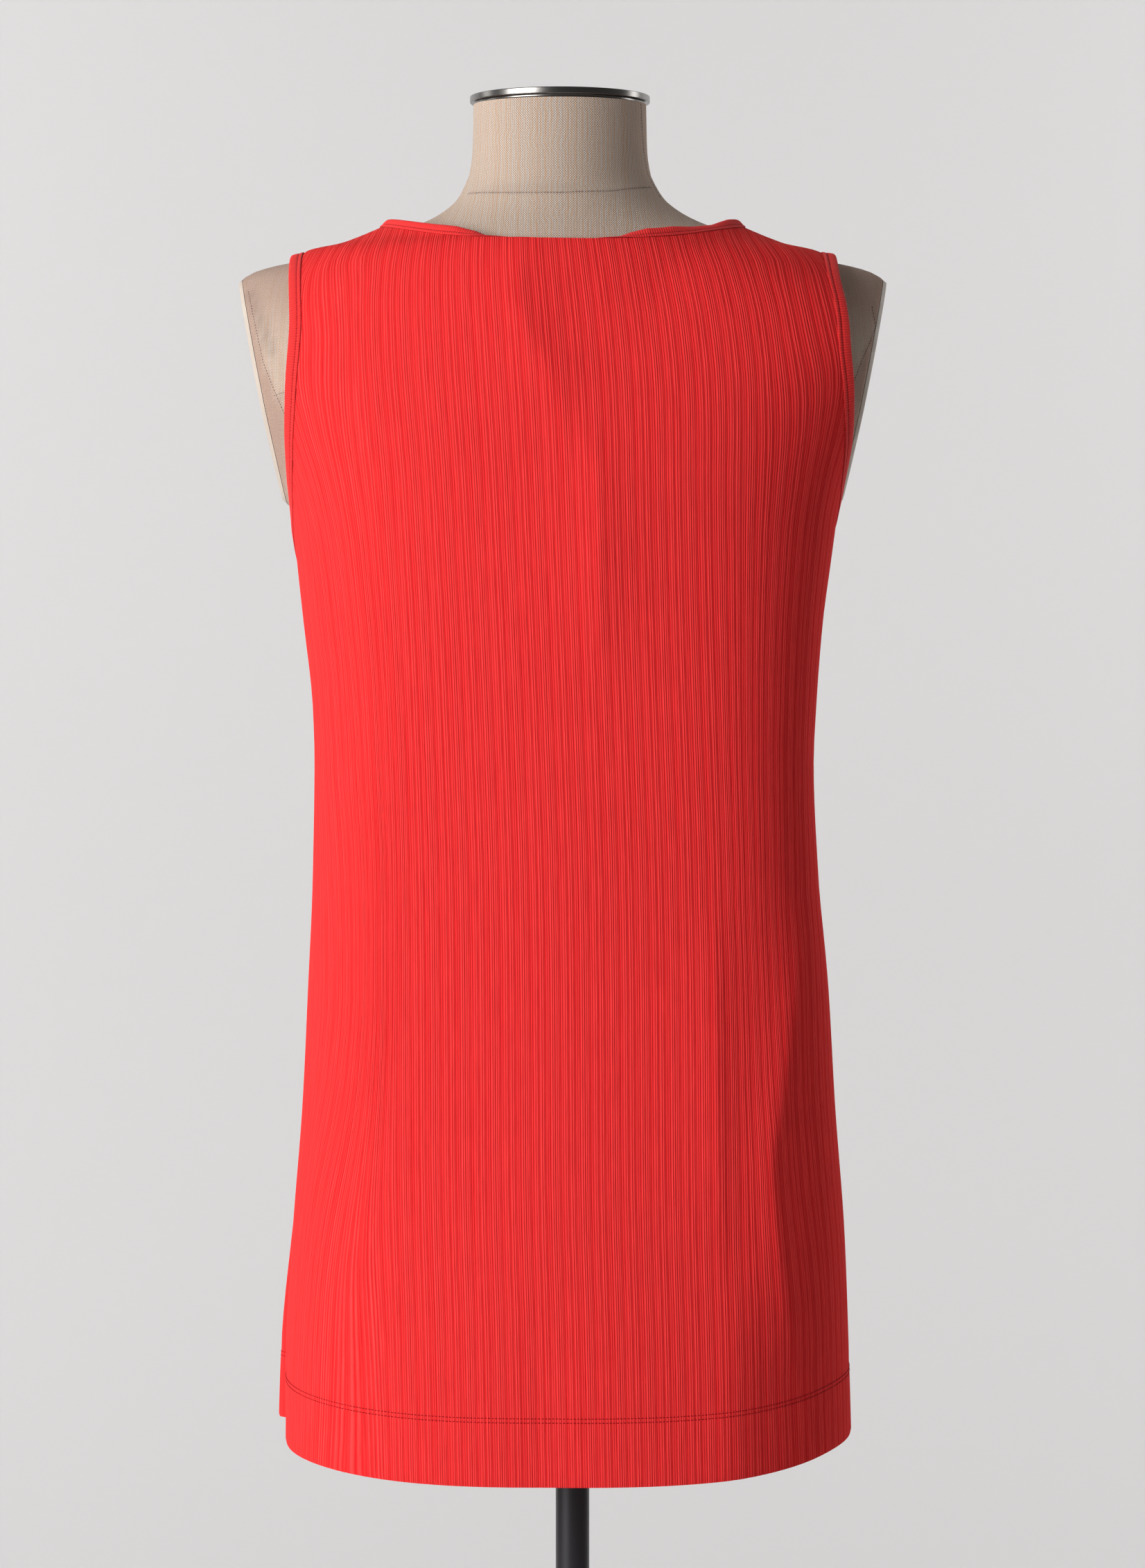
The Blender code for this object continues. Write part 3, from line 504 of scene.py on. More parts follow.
def cloth(x, level, u, facing):
    """Points on a panel's outer face, with their outward directions."""
    points, normals = TUNIC.surface(x, level, facing)
    fade = 1 - np.abs(u) ** FOLD_SIDE_CURVE
    points = points + normals * (fold_rise(x, level, facing) * fade)[..., None]
    hand = np.where(u > 0, LEFT, RIGHT)
    opened = ease((SLIT_TOP - level) / (SLIT_TOP - HEM_LEVEL[BACK]))
    near = ease((np.abs(u) - SLIT_SPREAD_START) / (1 - SLIT_SPREAD_START)) * opened * MM
    out = [slit.back_out if facing == BACK else slit.front_out for slit in SLITS.values()]
    if facing == FRONT:
        turned = ease((np.abs(u) - TURN_IN_START) / (1 - TURN_IN_START)) * opened * MM
        points[..., 0] -= hand * handed(hand, TURN_IN, 0) * turned
    points[..., 0] += hand * handed(hand, *out) * near
    points[..., 1] += facing * handed(hand, *[slit.apart for slit in SLITS.values()]) * near
    points[..., 1] += facing * SEAM_GAP / 2
    return points, normals


class RibTable:
    """How far across the knit a place on the cloth lies, along its level section."""

    LEVELS = 300
    PLACES = 240

    def __init__(self):
        self.levels = np.linspace(TUNIC.levels[0] - 0.02, TUNIC.levels[-1], self.LEVELS)
        self.shares = np.linspace(0, 1, self.PLACES)
        self.lengths = {}
        for facing in (BACK, FRONT):
            for hand in (LEFT, RIGHT):
                half_width, depth, _ = TUNIC.reach(self.levels, hand, facing)
                share = np.sin(math.pi / 2 * self.shares)[None, :]
                x = half_width[:, None] * share
                n = RIB_SQUARENESS
                y = depth[:, None] * (1 - share ** n) ** (1 / n)
                steps = np.hypot(np.diff(x, axis=1), np.diff(y, axis=1))
                length = np.concatenate([np.zeros((self.LEVELS, 1)), np.cumsum(steps, 1)], 1)
                self.lengths[facing, hand] = length
        self.grain = Table(GRAIN)

    def across(self, x, level, facing):
        """Distance across the knit, from its middle wale, at places and levels."""
        total = np.zeros_like(x)
        grain_level = level
        level = np.minimum(level, RIB_TOP)
        for hand in (LEFT, RIGHT):
            half_width = TUNIC.reach(level, hand, facing)[0]
            share = np.arcsin(np.clip(np.abs(x) / half_width, 0, 1)) / (math.pi / 2)
            i = np.clip((level - self.levels[0]) / np.diff(self.levels[:2]), 0, self.LEVELS - 1.001)
            j = share * (self.PLACES - 1.001)
            low, left = i.astype(int), j.astype(int)
            p, q = i - low, j - left
            table = self.lengths[facing, hand]
            length = (
                table[low, left] * (1 - p) * (1 - q) + table[low + 1, left] * p * (1 - q)
                + table[low, left + 1] * (1 - p) * q + table[low + 1, left + 1] * p * q
            )
            fan = self.grain.read("left_fan" if hand == LEFT else "right_fan", grain_level) * MM
            outer = ease((np.abs(x) / half_width - FAN_START) / FAN_SPREAD)
            length = length / self.grain.read("stretch", grain_level) - fan * outer
            total = np.where(np.where(x > 0, LEFT, RIGHT) == hand, hand * length, total)
        return total + self.grain.read("shift", grain_level) * MM + RIB_PHASE


# ------------------------------- node graphs

class Socket:
    """A socket of a node; arithmetic on it adds Math nodes."""

    def __init__(self, graph, socket):
        self.graph, self.socket = graph, socket

    def math(self, operation, *others):
        return self.graph.math(operation, self, *others)

    def __add__(self, other):
        return self.math("ADD", other)

    def __sub__(self, other):
        return self.math("SUBTRACT", other)

    def __rsub__(self, other):
        return self.graph.math("SUBTRACT", other, self)

    def __mul__(self, other):
        return self.math("MULTIPLY", other)

    def __truediv__(self, other):
        return self.math("DIVIDE", other)

    def wrapped(self, period=1.0):
        return self.math("FLOORED_MODULO", period)

    def clamped(self):
        return self.math("MINIMUM", 1.0).math("MAXIMUM", 0.0)

    def wave(self, kind="SINE"):
        """A wave of the socket's angle, from 0 to 1."""
        return self.math(kind) * 0.5 + 0.5


class Graph:
    """A shader or geometry node tree."""

    def __init__(self, tree):
        self.tree = tree

    def node(self, kind, settings=(), values=()):
        """A node with its settings and the values of its inputs."""
        made = self.tree.nodes.new(kind)
        for name, value in dict(settings).items():
            if name == "stops":
                ramp = made.color_ramp
                while len(ramp.elements) < len(value):
                    ramp.elements.new(0.5)
                for element, (place, colour) in zip(ramp.elements, value):
                    element.position = place
                    element.color = (*colour, 1)
            elif name == "curve":
                curve = made.mapping.curves[0]
                for place, height in value[2:]:
                    curve.points.new(place, height)
                for point, (place, height) in zip(curve.points, sorted(value)):
                    point.location = (place, height)
                    point.handle_type = "VECTOR"
                made.mapping.update()
            else:
                setattr(made, name, value)
        self.feed(made, values)
        return made

    def feed(self, node, values):
        """Gives a node's inputs their values or links."""
        for name, value in dict(values).items():
            source = getattr(value, "socket", value)
            if isinstance(source, bpy.types.NodeSocket):
                self.tree.links.new(source, node.inputs[name])
            else:
                node.inputs[name].default_value = source

    def out(self, kind, settings=(), values=(), output=0):
        """An output of a new node."""
        return Socket(self, self.node(kind, settings, values).outputs[output])

    def math(self, operation, *values):
        return self.out("ShaderNodeMath", {"operation": operation}, dict(enumerate(values)))

    def vector(self, **parts):
        return self.out("ShaderNodeCombineXYZ", (), parts)

    def noise(self, at, scale=1.0, detail=2.0):
        return self.out("ShaderNodeTexNoise", (), {"Vector": at, "Scale": scale, "Detail": detail})

    def curve(self, points, value):
        return self.out("ShaderNodeFloatCurve", {"curve": points}, {"Value": value})

    def mixed(self, factor, *colours):
        """A mix of two colours."""
        first, second = [c if isinstance(c, Socket) else (*c, 1) for c in colours]
        settings = {"data_type": "RGBA", "blend_type": "MIX"}
        return self.out("ShaderNodeMix", settings, {0: factor, 6: first, 7: second}, output=2)


class GeometryGraph(Graph):
    """A geometry node group; its inputs are the geometry, named numbers and a material."""

    def __init__(self, name, numbers):
        super().__init__(bpy.data.node_groups.new(name, "GeometryNodeTree"))
        sockets = self.tree.interface
        kinds = {"Geometry": "Geometry", **dict.fromkeys(numbers, "Float"), "Material": "Material"}
        for label, kind in kinds.items():
            socket = sockets.new_socket(label, in_out="INPUT", socket_type=f"NodeSocket{kind}")
            if label in numbers:
                socket.default_value = numbers[label]
        sockets.new_socket("Geometry", in_out="OUTPUT", socket_type="NodeSocketGeometry")
        self.inputs = self.node("NodeGroupInput").outputs

    def given(self, label):
        return Socket(self, self.inputs[label])

    def named(self, name, kind="FLOAT"):
        """A named attribute."""
        return self.out("GeometryNodeInputNamedAttribute", {"data_type": kind}, {"Name": name})

    def finish(self, geometry):
        """Ends the tree in Realize Instances and Set Material."""
        real = self.out("GeometryNodeRealizeInstances", (), {"Geometry": geometry})
        values = {"Geometry": real, "Material": self.given("Material")}
        painted = self.out("GeometryNodeSetMaterial", (), values)
        self.node("NodeGroupOutput", (), {"Geometry": painted})
        return self.tree


def apply_tree(piece, tree, values):
    """Runs a tree on a piece with values by input name, and keeps the result as a plain mesh."""
    modifier = piece.modifiers.new(tree.name, "NODES")
    modifier.node_group = tree
    for item in tree.interface.items_tree:
        if item.item_type == "SOCKET" and item.in_out == "INPUT" and item.name in values:
            modifier[item.identifier] = values[item.name]
    depsgraph = bpy.context.evaluated_depsgraph_get()
    mesh = bpy.data.meshes.new_from_object(
        piece.evaluated_get(depsgraph), preserve_all_data_layers=True, depsgraph=depsgraph
    )
    mesh.name = piece.name
    piece.modifiers.remove(modifier)
    old = piece.data
    piece.data = mesh
    bpy.data.meshes.remove(old)
    return piece


# ------------------------------- materials

class Paint(Graph):
    """The node tree of a new Principled material."""

    def __init__(self, name, roughness, metallic=0.0, **constants):
        self.material = bpy.data.materials.new(name)
        self.material.use_nodes = True
        super().__init__(self.material.node_tree)
        self.shader = self.tree.nodes["Principled BSDF"]
        named = {label.replace("_", " "): value for label, value in constants.items()}
        self.feed(self.shader, {"Roughness": roughness, "Metallic": metallic, **named})

    def attribute(self, name):
        return self.out("ShaderNodeAttribute", {"attribute_name": name}, output="Fac")

    def spot(self):
        """The place on the object."""
        return self.out("ShaderNodeTexCoord", output="Object")

    def finish(self, colour, bump=None, roughness=None):
        """Feeds the shader a colour, a bump as (height, distance, strength) and a roughness."""
        self.feed(self.shader, {"Base Color": colour})
        if bump:
            values = dict(zip(("Height", "Distance", "Strength"), bump))
            self.feed(self.shader, {"Normal": self.out("ShaderNodeBump", (), values)})
        if roughness:
            self.feed(self.shader, {"Roughness": roughness})
        return self.material


def darker(colour, share):
    return tuple(channel * share for channel in colour)


def groove_curve(grooves, half_width, shift=0.0):
    """Points of a curve over one repeat: 0 on the lands, up to 1 in the grooves."""
    points = []
    for groove in grooves:
        place = (groove.place + shift) % 1
        for step, depth in ((-half_width, 0.0), (0, groove.depth), (half_width, 0.0)):
            points.append((min(max(place + step, 0.0), 1.0), depth))
    return sorted(points)


def knit_material(name, settings):
    """Red rib knit that follows the wales, on the across and down attributes."""
    paint = Paint(
        name, 0.85, Sheen_Weight=0.03, Sheen_Roughness=0.45, Sheen_Tint=(1.0, 0.42, 0.24, 1.0),
        Specular_IOR_Level=0.03,
    )
    across, down = paint.attribute("across"), paint.attribute("down")
    # deep is the painted shade of the grooves, bright the painted highlight beside them
    red, deep, bright = settings.red, settings.red_deep, settings.red_bright
    repeat = settings.rib_repeat
    place = (across / repeat).wrapped()
    half = settings.line_width / repeat / 2
    grooves = paint.curve(groove_curve(GROOVES, half), place)
    fine = paint.curve(groove_curve(FINE_LINES, half), place)
    lit = paint.curve(groove_curve(GROOVES, half * 1.1, shift=-GROOVE_HIGHLIGHT_SHIFT / repeat), place)
    # Each line is stronger in some stretches than in others
    vary = paint.noise(paint.vector(X=across * 420.0, Y=down * 9.0))
    groove = (grooves.math("MAXIMUM", fine) * (vary * 1.5 + 0.22)).clamped()
    # Fine wales and courses of the knit
    wale = (across * (2 * math.pi * WALES_IN_REPEAT / repeat)).math("SINE")
    course = (down * (2 * math.pi / COURSE_PITCH)).math("SINE")
    loops = (wale * course) * 0.5 + 0.5
    between = 0.5 - wale * 0.5
    # Yarn streaks along the wales and soft clouds of shade
    streaks = paint.noise(paint.vector(X=across * 1400.0, Y=down * 45.0))
    clouds = paint.noise(paint.vector(X=across * 60.0, Y=down * 22.0))
    yarn = paint.mixed(((streaks - 0.36) * 2.6).clamped(), darker(red, 0.70), red)
    yarn = paint.mixed((clouds * 0.5).clamped() * 0.5, yarn, red)
    # Painted shade in the hollows between the wales
    yarn = paint.mixed(between * between * 0.68, yarn, deep)
    # Painted highlight beside each groove
    yarn = paint.mixed((lit * (1.3 - vary)).clamped() * 0.35, yarn, bright)
    # Painted shade in the grooves and fine lines, on top of the grooves' relief
    yarn = paint.mixed(groove * 0.74, yarn, deep)
    height = loops * 0.25 + wale * 0.75 + streaks * 0.5 - groove * 1.5
    return paint.finish(yarn, (height, 0.12 * MM, 0.9))


def binding_material(name, settings):
    """The same yarn knitted in fine ribs across the strip, on the along and width attributes."""
    paint = Paint(name, 0.80, Sheen_Weight=0.05, Sheen_Roughness=0.5, Specular_IOR_Level=0.25)
    along, width = paint.attribute("along"), paint.attribute("width_at")
    rib = (along * (2 * math.pi / settings.binding_pitch)).wave("COSINE")
    grain = paint.noise(paint.vector(X=along * 1500.0, Y=width * 260.0))
    red = settings.binding_red
    # The troughs between the cross ribs are darker: painted shade, broken up by random grain
    yarn = paint.mixed((rib * 0.75 + (grain - 0.4)).clamped(), darker(red, 0.62), red)
    # Painted shadow of the seam, on the lip over the panel and in the dip of the stitching
    yarn = paint.mixed(paint.attribute("shade"), yarn, SEAM_SHADOW_RED)
    return paint.finish(yarn, (rib + grain * 0.8, 0.12 * MM, 0.8))


def thread_material(name, colour):
    """Sewing thread, with its two-ply twist."""
    paint = Paint(name, 0.7, Specular_IOR_Level=0.08)
    twist = ((paint.noise(paint.spot(), 900.0, 1.0) - 0.35) * 3).clamped()
    return paint.finish(paint.mixed(twist, darker(colour, 0.55), colour))


def linen_material(name, settings):
    """Coarse plain weave of beige, grey and rust threads, on the across and down attributes."""
    paint = Paint(name, 0.85, Sheen_Weight=0.04, Sheen_Roughness=0.6, Specular_IOR_Level=0.12)
    pitch = settings.thread_pitch
    warp_at, weft_at = paint.attribute("across") / pitch, paint.attribute("down") / pitch
    warp_id, weft_id = warp_at.math("FLOOR"), weft_at.math("FLOOR")
    warp_round = (warp_at.wrapped() * math.pi).math("SINE")
    weft_round = (weft_at.wrapped() * math.pi).math("SINE")
    over = (warp_id + weft_id).wrapped(2.0)
    height = over * warp_round + (1 - over) * weft_round
    sand, grey, rust, cream = settings.sand, settings.grey, settings.rust, settings.cream

    def thread(identity, *stops):
        """The colour of each thread, picked by its number."""
        pick = paint.out("ShaderNodeTexWhiteNoise", {"noise_dimensions": "1D"}, {"W": identity})
        return paint.out("ShaderNodeValToRGB", {"stops": stops}, {"Fac": pick})

    warp = thread(warp_id + 0.5, (0.0, rust), (0.35, sand), (0.6, cream), (1.0, grey))
    weft = thread(weft_id + 91.5, (0.0, cream), (0.4, sand), (0.75, grey), (1.0, sand))
    colour = paint.mixed(0.25, paint.mixed(over, weft, warp), sand)
    # Warps turn from rust to grey and back in narrow wandering bands
    wander = paint.noise(paint.vector(X=warp_at * 0.03, Y=weft_at * 0.045), detail=1.0)
    band = (warp_at * (math.pi / 1.9) + wander * 26.0).wave()
    colour = paint.mixed(0.42, colour, paint.mixed(band, grey, rust))
    colour = paint.mixed(paint.attribute("arm") * 0.75, colour, settings.arm)
    colour = paint.mixed((1 - over) * 0.72, colour, WEFT_BROWN)
    # Painted shade in the gaps between the threads
    colour = paint.mixed((1 - height * height) * 0.88, colour, GAP_SHADE_BROWN)
    slubs = paint.noise(paint.vector(X=warp_at * 0.9, Y=weft_at * 0.9), detail=3.0)
    colour = paint.mixed((slubs * 0.25).clamped(), colour, sand)
    # Painted shade along the seams and in the crease
    shade = paint.attribute("shade")
    colour = paint.mixed(shade, colour, SEAM_SHADE_BROWN)
    return paint.finish(colour, (height + slubs * 0.5 - shade * 2, 0.16 * MM, 0.9))


def plate_material(name, colour):
    """Smooth satin board with faint mottling."""
    paint = Paint(name, 0.48, Specular_IOR_Level=0.4)
    spot = paint.spot()
    cloud, grain = paint.noise(spot, 60.0, 5.0), paint.noise(spot, 700.0, 3.0)
    tone = paint.mixed((cloud * 1.6 - 0.3).clamped(), darker(colour, 0.86), colour)
    return paint.finish(tone, (grain, 0.04 * MM, 0.5), grain * 0.12 + 0.42)


def metal_material(name, colour, roughness, metallic, scratch_scale, spread):
    """Metal with fine turned scratches and faint smears."""
    paint = Paint(name, roughness, metallic)
    spot = paint.spot()
    stretch = {"Vector": spot, "Scale": (1.0, 1.0, scratch_scale)}
    lines = paint.noise(paint.out("ShaderNodeMapping", (), stretch), 60.0, 5.0)
    smears = paint.noise(spot, 22.0, 3.0)
    tone = paint.mixed((smears * 1.4 - 0.2).clamped(), darker(colour, 0.8), colour)
    rough = lines * spread + smears * spread + (roughness - spread)
    return paint.finish(tone, (lines, 0.02 * MM, 0.4), rough)


def studio_material(name, colour):
    """Pale matte paper, with the faintest mottling."""
    paint = Paint(name, 0.9, Specular_IOR_Level=0.2)
    cloud = paint.noise(paint.spot(), 1.5)
    return paint.finish(paint.mixed(cloud, darker(colour, 0.985), colour))


# ------------------------------- meshes

def add_object(name, data):
    made = bpy.data.objects.new(name, data)
    bpy.context.scene.collection.objects.link(made)
    return made


def add_mesh(mesh, material, smooth_angle=60):
    """An object with its mesh's name, smooth but for the sharper edges."""
    mesh.materials.append(material)
    mesh.shade_smooth()
    mesh.set_sharp_from_angle(angle=math.radians(smooth_angle))
    return add_object(mesh.name, mesh)


def declare(piece, slot, node=None):
    """Hides the solid a piece replaces and lets the piece ride the one body; slot is not used."""
    if node:
        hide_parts(node)
    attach(piece, "root")


def set_attributes(mesh, **columns):
    """Numbers on each vertex."""
    for name, values in columns.items():
        layer = mesh.attributes.new(name, "FLOAT", "POINT")
        layer.data.foreach_set("value", np.asarray(values, np.float32))


def shape_mesh(name, shape, turn_out=False):
    """A mesh with the shape of a bmesh, which is freed."""
    if turn_out:
        bmesh.ops.recalc_face_normals(shape, faces=shape.faces)
    mesh = bpy.data.meshes.new(name)
    shape.to_mesh(mesh)
    shape.free()
    return mesh


def build_mesh(name, points, faces):
    """A closed mesh, its faces turned out."""
    mesh = bpy.data.meshes.new(name)
    mesh.from_pydata(points.tolist(), [], faces)
    shape = bmesh.new()
    shape.from_mesh(mesh)
    bpy.data.meshes.remove(mesh)
    return shape_mesh(name, shape, turn_out=True)


def ringed_shape(rings):
    """A closed bmesh through rings of points."""
    shape = bmesh.new()
    rings = [[shape.verts.new(point) for point in ring] for ring in rings]
    for low, high in zip(rings, rings[1:]):
        for i in range(len(low)):
            k = (i + 1) % len(low)
            shape.faces.new((low[i], low[k], high[k], high[i]))
    shape.faces.new(rings[0][::-1])
    shape.faces.new(rings[-1])
    return shape


def zipped(first, first_at, second, second_at):
    """Triangles between two rows of vertices that run the same way at different paces."""
    faces, i, j = [], 0, 0
    while i < len(first) - 1 or j < len(second) - 1:
        ahead = j == len(second) - 1 or (i < len(first) - 1 and first_at[i + 1] <= second_at[j + 1])
        if ahead:
            corners = (first[i], first[i + 1], second[j])
            i += 1
        else:
            corners = (first[i], second[j + 1], second[j])
            j += 1
        if len(set(corners)) == 3:
            faces.append(corners)
    return faces


# ------------------------------- the panels

def panel_rows():
    """The rows of a panel as (drop, skirt, lift, thickness)."""
    rows = []
    for i in range(ARMHOLE_ROWS):
        drop = (1 - math.cos(math.pi * (i / ARMHOLE_ROWS) ** ARMHOLE_ROW_CURVE)) / 2
        rows.append((drop, 0, 0, WALL))
    for i in range(SKIRT_ROWS + 1):
        rows.append((1, i / SKIRT_ROWS, 0, WALL))
    for lift in HEM_LIFTS:
        rows.append((1, 1, lift * MM, WALL if lift * MM > -HEM_STEP else 2 * WALL))
    return rows


def rib_columns(repeat, groove_width, reach):
    """Places across the knit of the mesh's columns: close at each groove, two on each land."""
    marks = []
    half = groove_width / 2
    centres = sorted(groove.place * repeat for groove in GROOVES)
    for k in range(math.floor(-reach / repeat), math.ceil(reach / repeat) + 1):
        for this, following in zip(centres, centres[1:] + [centres[0] + repeat]):
            start = k * repeat + this
            marks += [start - half, start, start + half]
            land = following - this - 2 * half
            marks += [start + half + land * share for share in LAND_COLUMNS]
    marks = np.array(sorted(marks))
    return marks[np.abs(marks) <= reach]


def panel_mesh(name, facing, ribs, columns):
    """A panel's mesh: its fine outer face, its plainer inner face, and the rims between them."""
    u = np.linspace(-1, 1, EDGE_SAMPLES * 2 + 1)
    inner_u = np.linspace(-1, 1, INNER_COLUMNS + 1)
    rows = panel_rows()
    points, across, down, keys, index, count = [], [], [], [], [], 0
    inner_points, inner_across = [], []
    for drop, skirt, lift, thickness in rows:
        x, level = row_curve(drop, skirt, lift, u, facing)
        place = ribs.across(x, level, facing)
        at = np.interp(columns, place, u)
        at[columns < place[0] + EDGE_MARGIN] = -1
        at[columns > place[-1] - EDGE_MARGIN] = 1
        x, level = row_curve(drop, skirt, lift, at, facing)
        outer, normals = cloth(x, level, at, facing)
        if drop == 1 and skirt == 1:
            for row in HEM_STITCH_ROWS:
                press = np.exp(-(((lift - row) / STITCH_PRESS_WIDTH) ** 2)) * STITCH_PRESS
                outer = outer - normals * press
        if lift == HEM_LIFTS[-1] * MM:
            outer = outer - normals * HEM_FOOT_TUCK
        # Columns past an end of the row fall together on it
        before, after = int(np.sum(at <= -1)), int(np.sum(at >= 1))
        first, last = max(before - 1, 0), len(columns) - max(after, 1)
        kept = slice(first, last + 1)
        places = columns[kept].copy()
        if before:
            places[0] = place[0]
        if after:
            places[-1] = place[-1]
        points.append(outer[kept])
        across.append(places)
        down.append(-level[kept])
        keys.append(at[kept])
        index.append((np.clip(np.arange(len(columns)), first, last) - first + count).tolist())
        count += last + 1 - first
        x, level = row_curve(drop, skirt, lift, inner_u, facing)
        inner, normals = cloth(x, level, inner_u, facing)
        inner_points.append(inner - normals * thickness)
        inner_across.append(ribs.across(x, level, facing))
    width = len(inner_u)
    inner_index = (np.arange(len(rows) * width) + count).reshape(len(rows), width).tolist()
    bands = list(zip(index, index[1:], inner_index, inner_index[1:]))
    faces = []
    for above, below, inner_above, inner_below in bands:
        for quad in zip(above, above[1:], below[1:], below):
            corners = list(dict.fromkeys(quad))
            if len(corners) > 2:
                faces.append(corners)
        faces += zip(inner_above, inner_below, inner_below[1:], inner_above[1:])
    for end in (0, -1):
        for above, below, inner_above, inner_below in bands:
            faces.append((above[end], below[end], inner_below[end], inner_above[end]))
    for row in (0, -1):
        outer_row = list(dict.fromkeys(index[row]))
        faces += zipped(outer_row, keys[row], inner_index[row], inner_u)
    inner_points = np.concatenate(inner_points)
    mesh = build_mesh(name, np.concatenate([*points, inner_points]), faces)
    set_attributes(
        mesh, across=np.concatenate(across + inner_across),
        down=np.concatenate([*down, -inner_points[:, 2]]),
        outer=[1.0] * int(count) + [0.0] * len(inner_points),
    )
    return mesh


def rib_tree(half_width):
    """Sinks the rib's grooves, of a half width as a share of a repeat, into the outer face."""
    graph = GeometryGraph("Rib relief", {"Repeat": 17.6 * MM, "Groove depth": 0.2 * MM})
    place = (graph.named("across") / graph.given("Repeat")).wrapped()
    groove = graph.curve(groove_curve(GROOVES, half_width), place)
    sink = groove * graph.named("outer") * graph.given("Groove depth") * -1.0
    values = {0: graph.out("GeometryNodeInputNormal"), "Scale": sink}
    offset = graph.out("ShaderNodeVectorMath", {"operation": "SCALE"}, values)
    values = {"Geometry": graph.given("Geometry"), "Offset": offset}
    return graph.finish(graph.out("GeometryNodeSetPosition", (), values))


# ------------------------------- the bindings

def side_edge(facing, hand):
    """The armhole edge of a panel, from the shoulder tip to the underarm."""
    turn = np.linspace(0, 1, ARMHOLE_SAMPLES)
    drop = (1 - np.cos(math.pi * turn)) / 2
    level = mix(SHOULDER_TIP_LEVEL, UNDERARM_LEVEL[hand], drop)
    x = np.where(
        drop < 1e-9, SHOULDER_TIP,
        mix(SHOULDER_TIP, side_reach(level, hand, facing), ease(drop / YOKE_DROP)),
    )
    return cloth(hand * x, level, np.full(ARMHOLE_SAMPLES, float(hand)), facing)


def neck_edge(facing):
    """The neck edge of a panel, from just inside the right shoulder seam to the left one."""
    u = np.linspace(-NECK_SHARE, NECK_SHARE, NECK_SAMPLES) * NECK_EDGE_REACH
    x, level = top_edge(u, facing)
    return cloth(x, level, u, facing)


def ring_path(back, front):
    """One closed path from two edges that run the same way and share their ends."""
    points, normals = [], []
    for part, order in ((back, 1), (front, -1)):
        inner = slice(1, -1)
        points.append(part[0][inner][::order])
        normals.append(part[1][inner][::order])
    ends = [(back[0][k] + front[0][k]) / 2 for k in (0, -1)]
    end_normals = [unit(back[1][k] + front[1][k]) for k in (0, -1)]
    points = np.concatenate([ends[0][None], points[0], ends[1][None], points[1]])
    normals = np.concatenate([end_normals[0][None], normals[0], end_normals[1][None], normals[1]])
    return points, unit(normals)


def resampled(points, normals, pitch):
    """The length of a closed path, then the path and its normals at an even pitch."""
    closed = np.concatenate([points, points[:1]])
    lengths = np.concatenate([[0], np.cumsum(np.linalg.norm(np.diff(closed, axis=0), axis=1))])
    count = max(8, round(lengths[-1] / pitch))
    at = np.linspace(0, lengths[-1], count, endpoint=False)
    even = []
    for values in (closed, np.concatenate([normals, normals[:1]])):
        even.append(np.stack([np.interp(at, lengths, values[:, k]) for k in range(3)], 1))
    return lengths[-1], *even


def smoothed(values, radius):
    """A closed row of vectors averaged over its neighbours."""
    kernel = np.hanning(2 * radius + 3)[1:-1]
    kernel /= kernel.sum()
    padded = np.concatenate([values[-radius:], values, values[:radius]])
    return np.stack([np.convolve(padded[:, k], kernel, "valid") for k in range(3)], 1)


def neck_roll(points):
    """How far the neck binding is rolled in, in degrees."""
    x = points[:, 0]
    turned = np.full(len(x), float(NECK_STAND))
    for left, right in zip(NECK_ROLL, NECK_ROLL[1:]):
        inside = (x <= left.x) & (x >= right.x) & (points[:, 1] > 0)
        share = (left.x - x) / (left.x - right.x)
        turned = np.where(inside, mix(left.degrees, right.degrees, share), turned)
    return turned


def armhole_roll(points):
    """How far an armhole binding is lifted off the shoulder, in degrees, as a roll below 0."""
    height = (points[:, 2] - SHOULDER_LIFT_FOOT) / (SHOULDER_TIP_LEVEL - SHOULDER_LIFT_FOOT)
    return SHOULDER_LIFT * ease(height)


# The section of a binding: across it in shares of its width, out of it in shares of half its
# thickness, and how far the finger of the seam's shadow reaches there. It starts at the lip over
# the panel, dips at the stitching and ends at the rounded fold.
BINDING_OUTLINE = (
    (-0.055, 0.62, 0.8), (-0.050, 0.86, 0.3), (-0.010, 1.02, 0.0), (0.10, 1.10, 0.0),
    (0.20, 1.02, 0.0), (0.255, 0.80, 0.35), (0.285, 0.72, 0.55), (0.315, 0.80, 0.35),
    (0.37, 1.00, 0.0), (0.50, 1.10, 0.0), (0.65, 1.12, 0.0), (0.78, 1.08, 0.0),
    (0.88, 0.95, 0.0), (0.95, 0.68, 0.0), (0.99, 0.34, 0.0), (1.00, 0.00, 0.0),
    (0.99, -0.34, 0.0), (0.95, -0.68, 0.0), (0.86, -0.95, 0.0), (0.60, -1.05, 0.0),
    (0.29, -0.92, 0.2), (0.05, -1.0, 0.0), (0.0, -0.90, 0.2), (0.0, 0.58, 0.9),
)


def binding_frames(points, normals, roll_at):
    """Where a binding starts round its path, and the ways it reaches across and faces."""
    along = np.roll(points, -1, axis=0) - np.roll(points, 1, axis=0)
    inward = unit(np.cross(along, normals))
    centre = points.mean(axis=0)
    if np.sum(inward * (centre - points)) < 0:
        inward = -inward
    roll = np.radians(roll_at(points))[:, None]
    reach = inward * np.cos(roll) - normals * np.sin(roll)
    face = inward * np.sin(roll) + normals * np.cos(roll)
    half = BINDING_THICKNESS / 2
    start = points - normals * WALL / 2
    start = start + reach * (SEAM_GAP + WALL / 2 * np.abs(np.sin(roll)))
    start = start + face * (WALL / 2 + 1.1 * SEAM_GAP + half) * (1 - np.cos(roll)) / 2
    return start, unit(reach), unit(face), roll[:, 0]


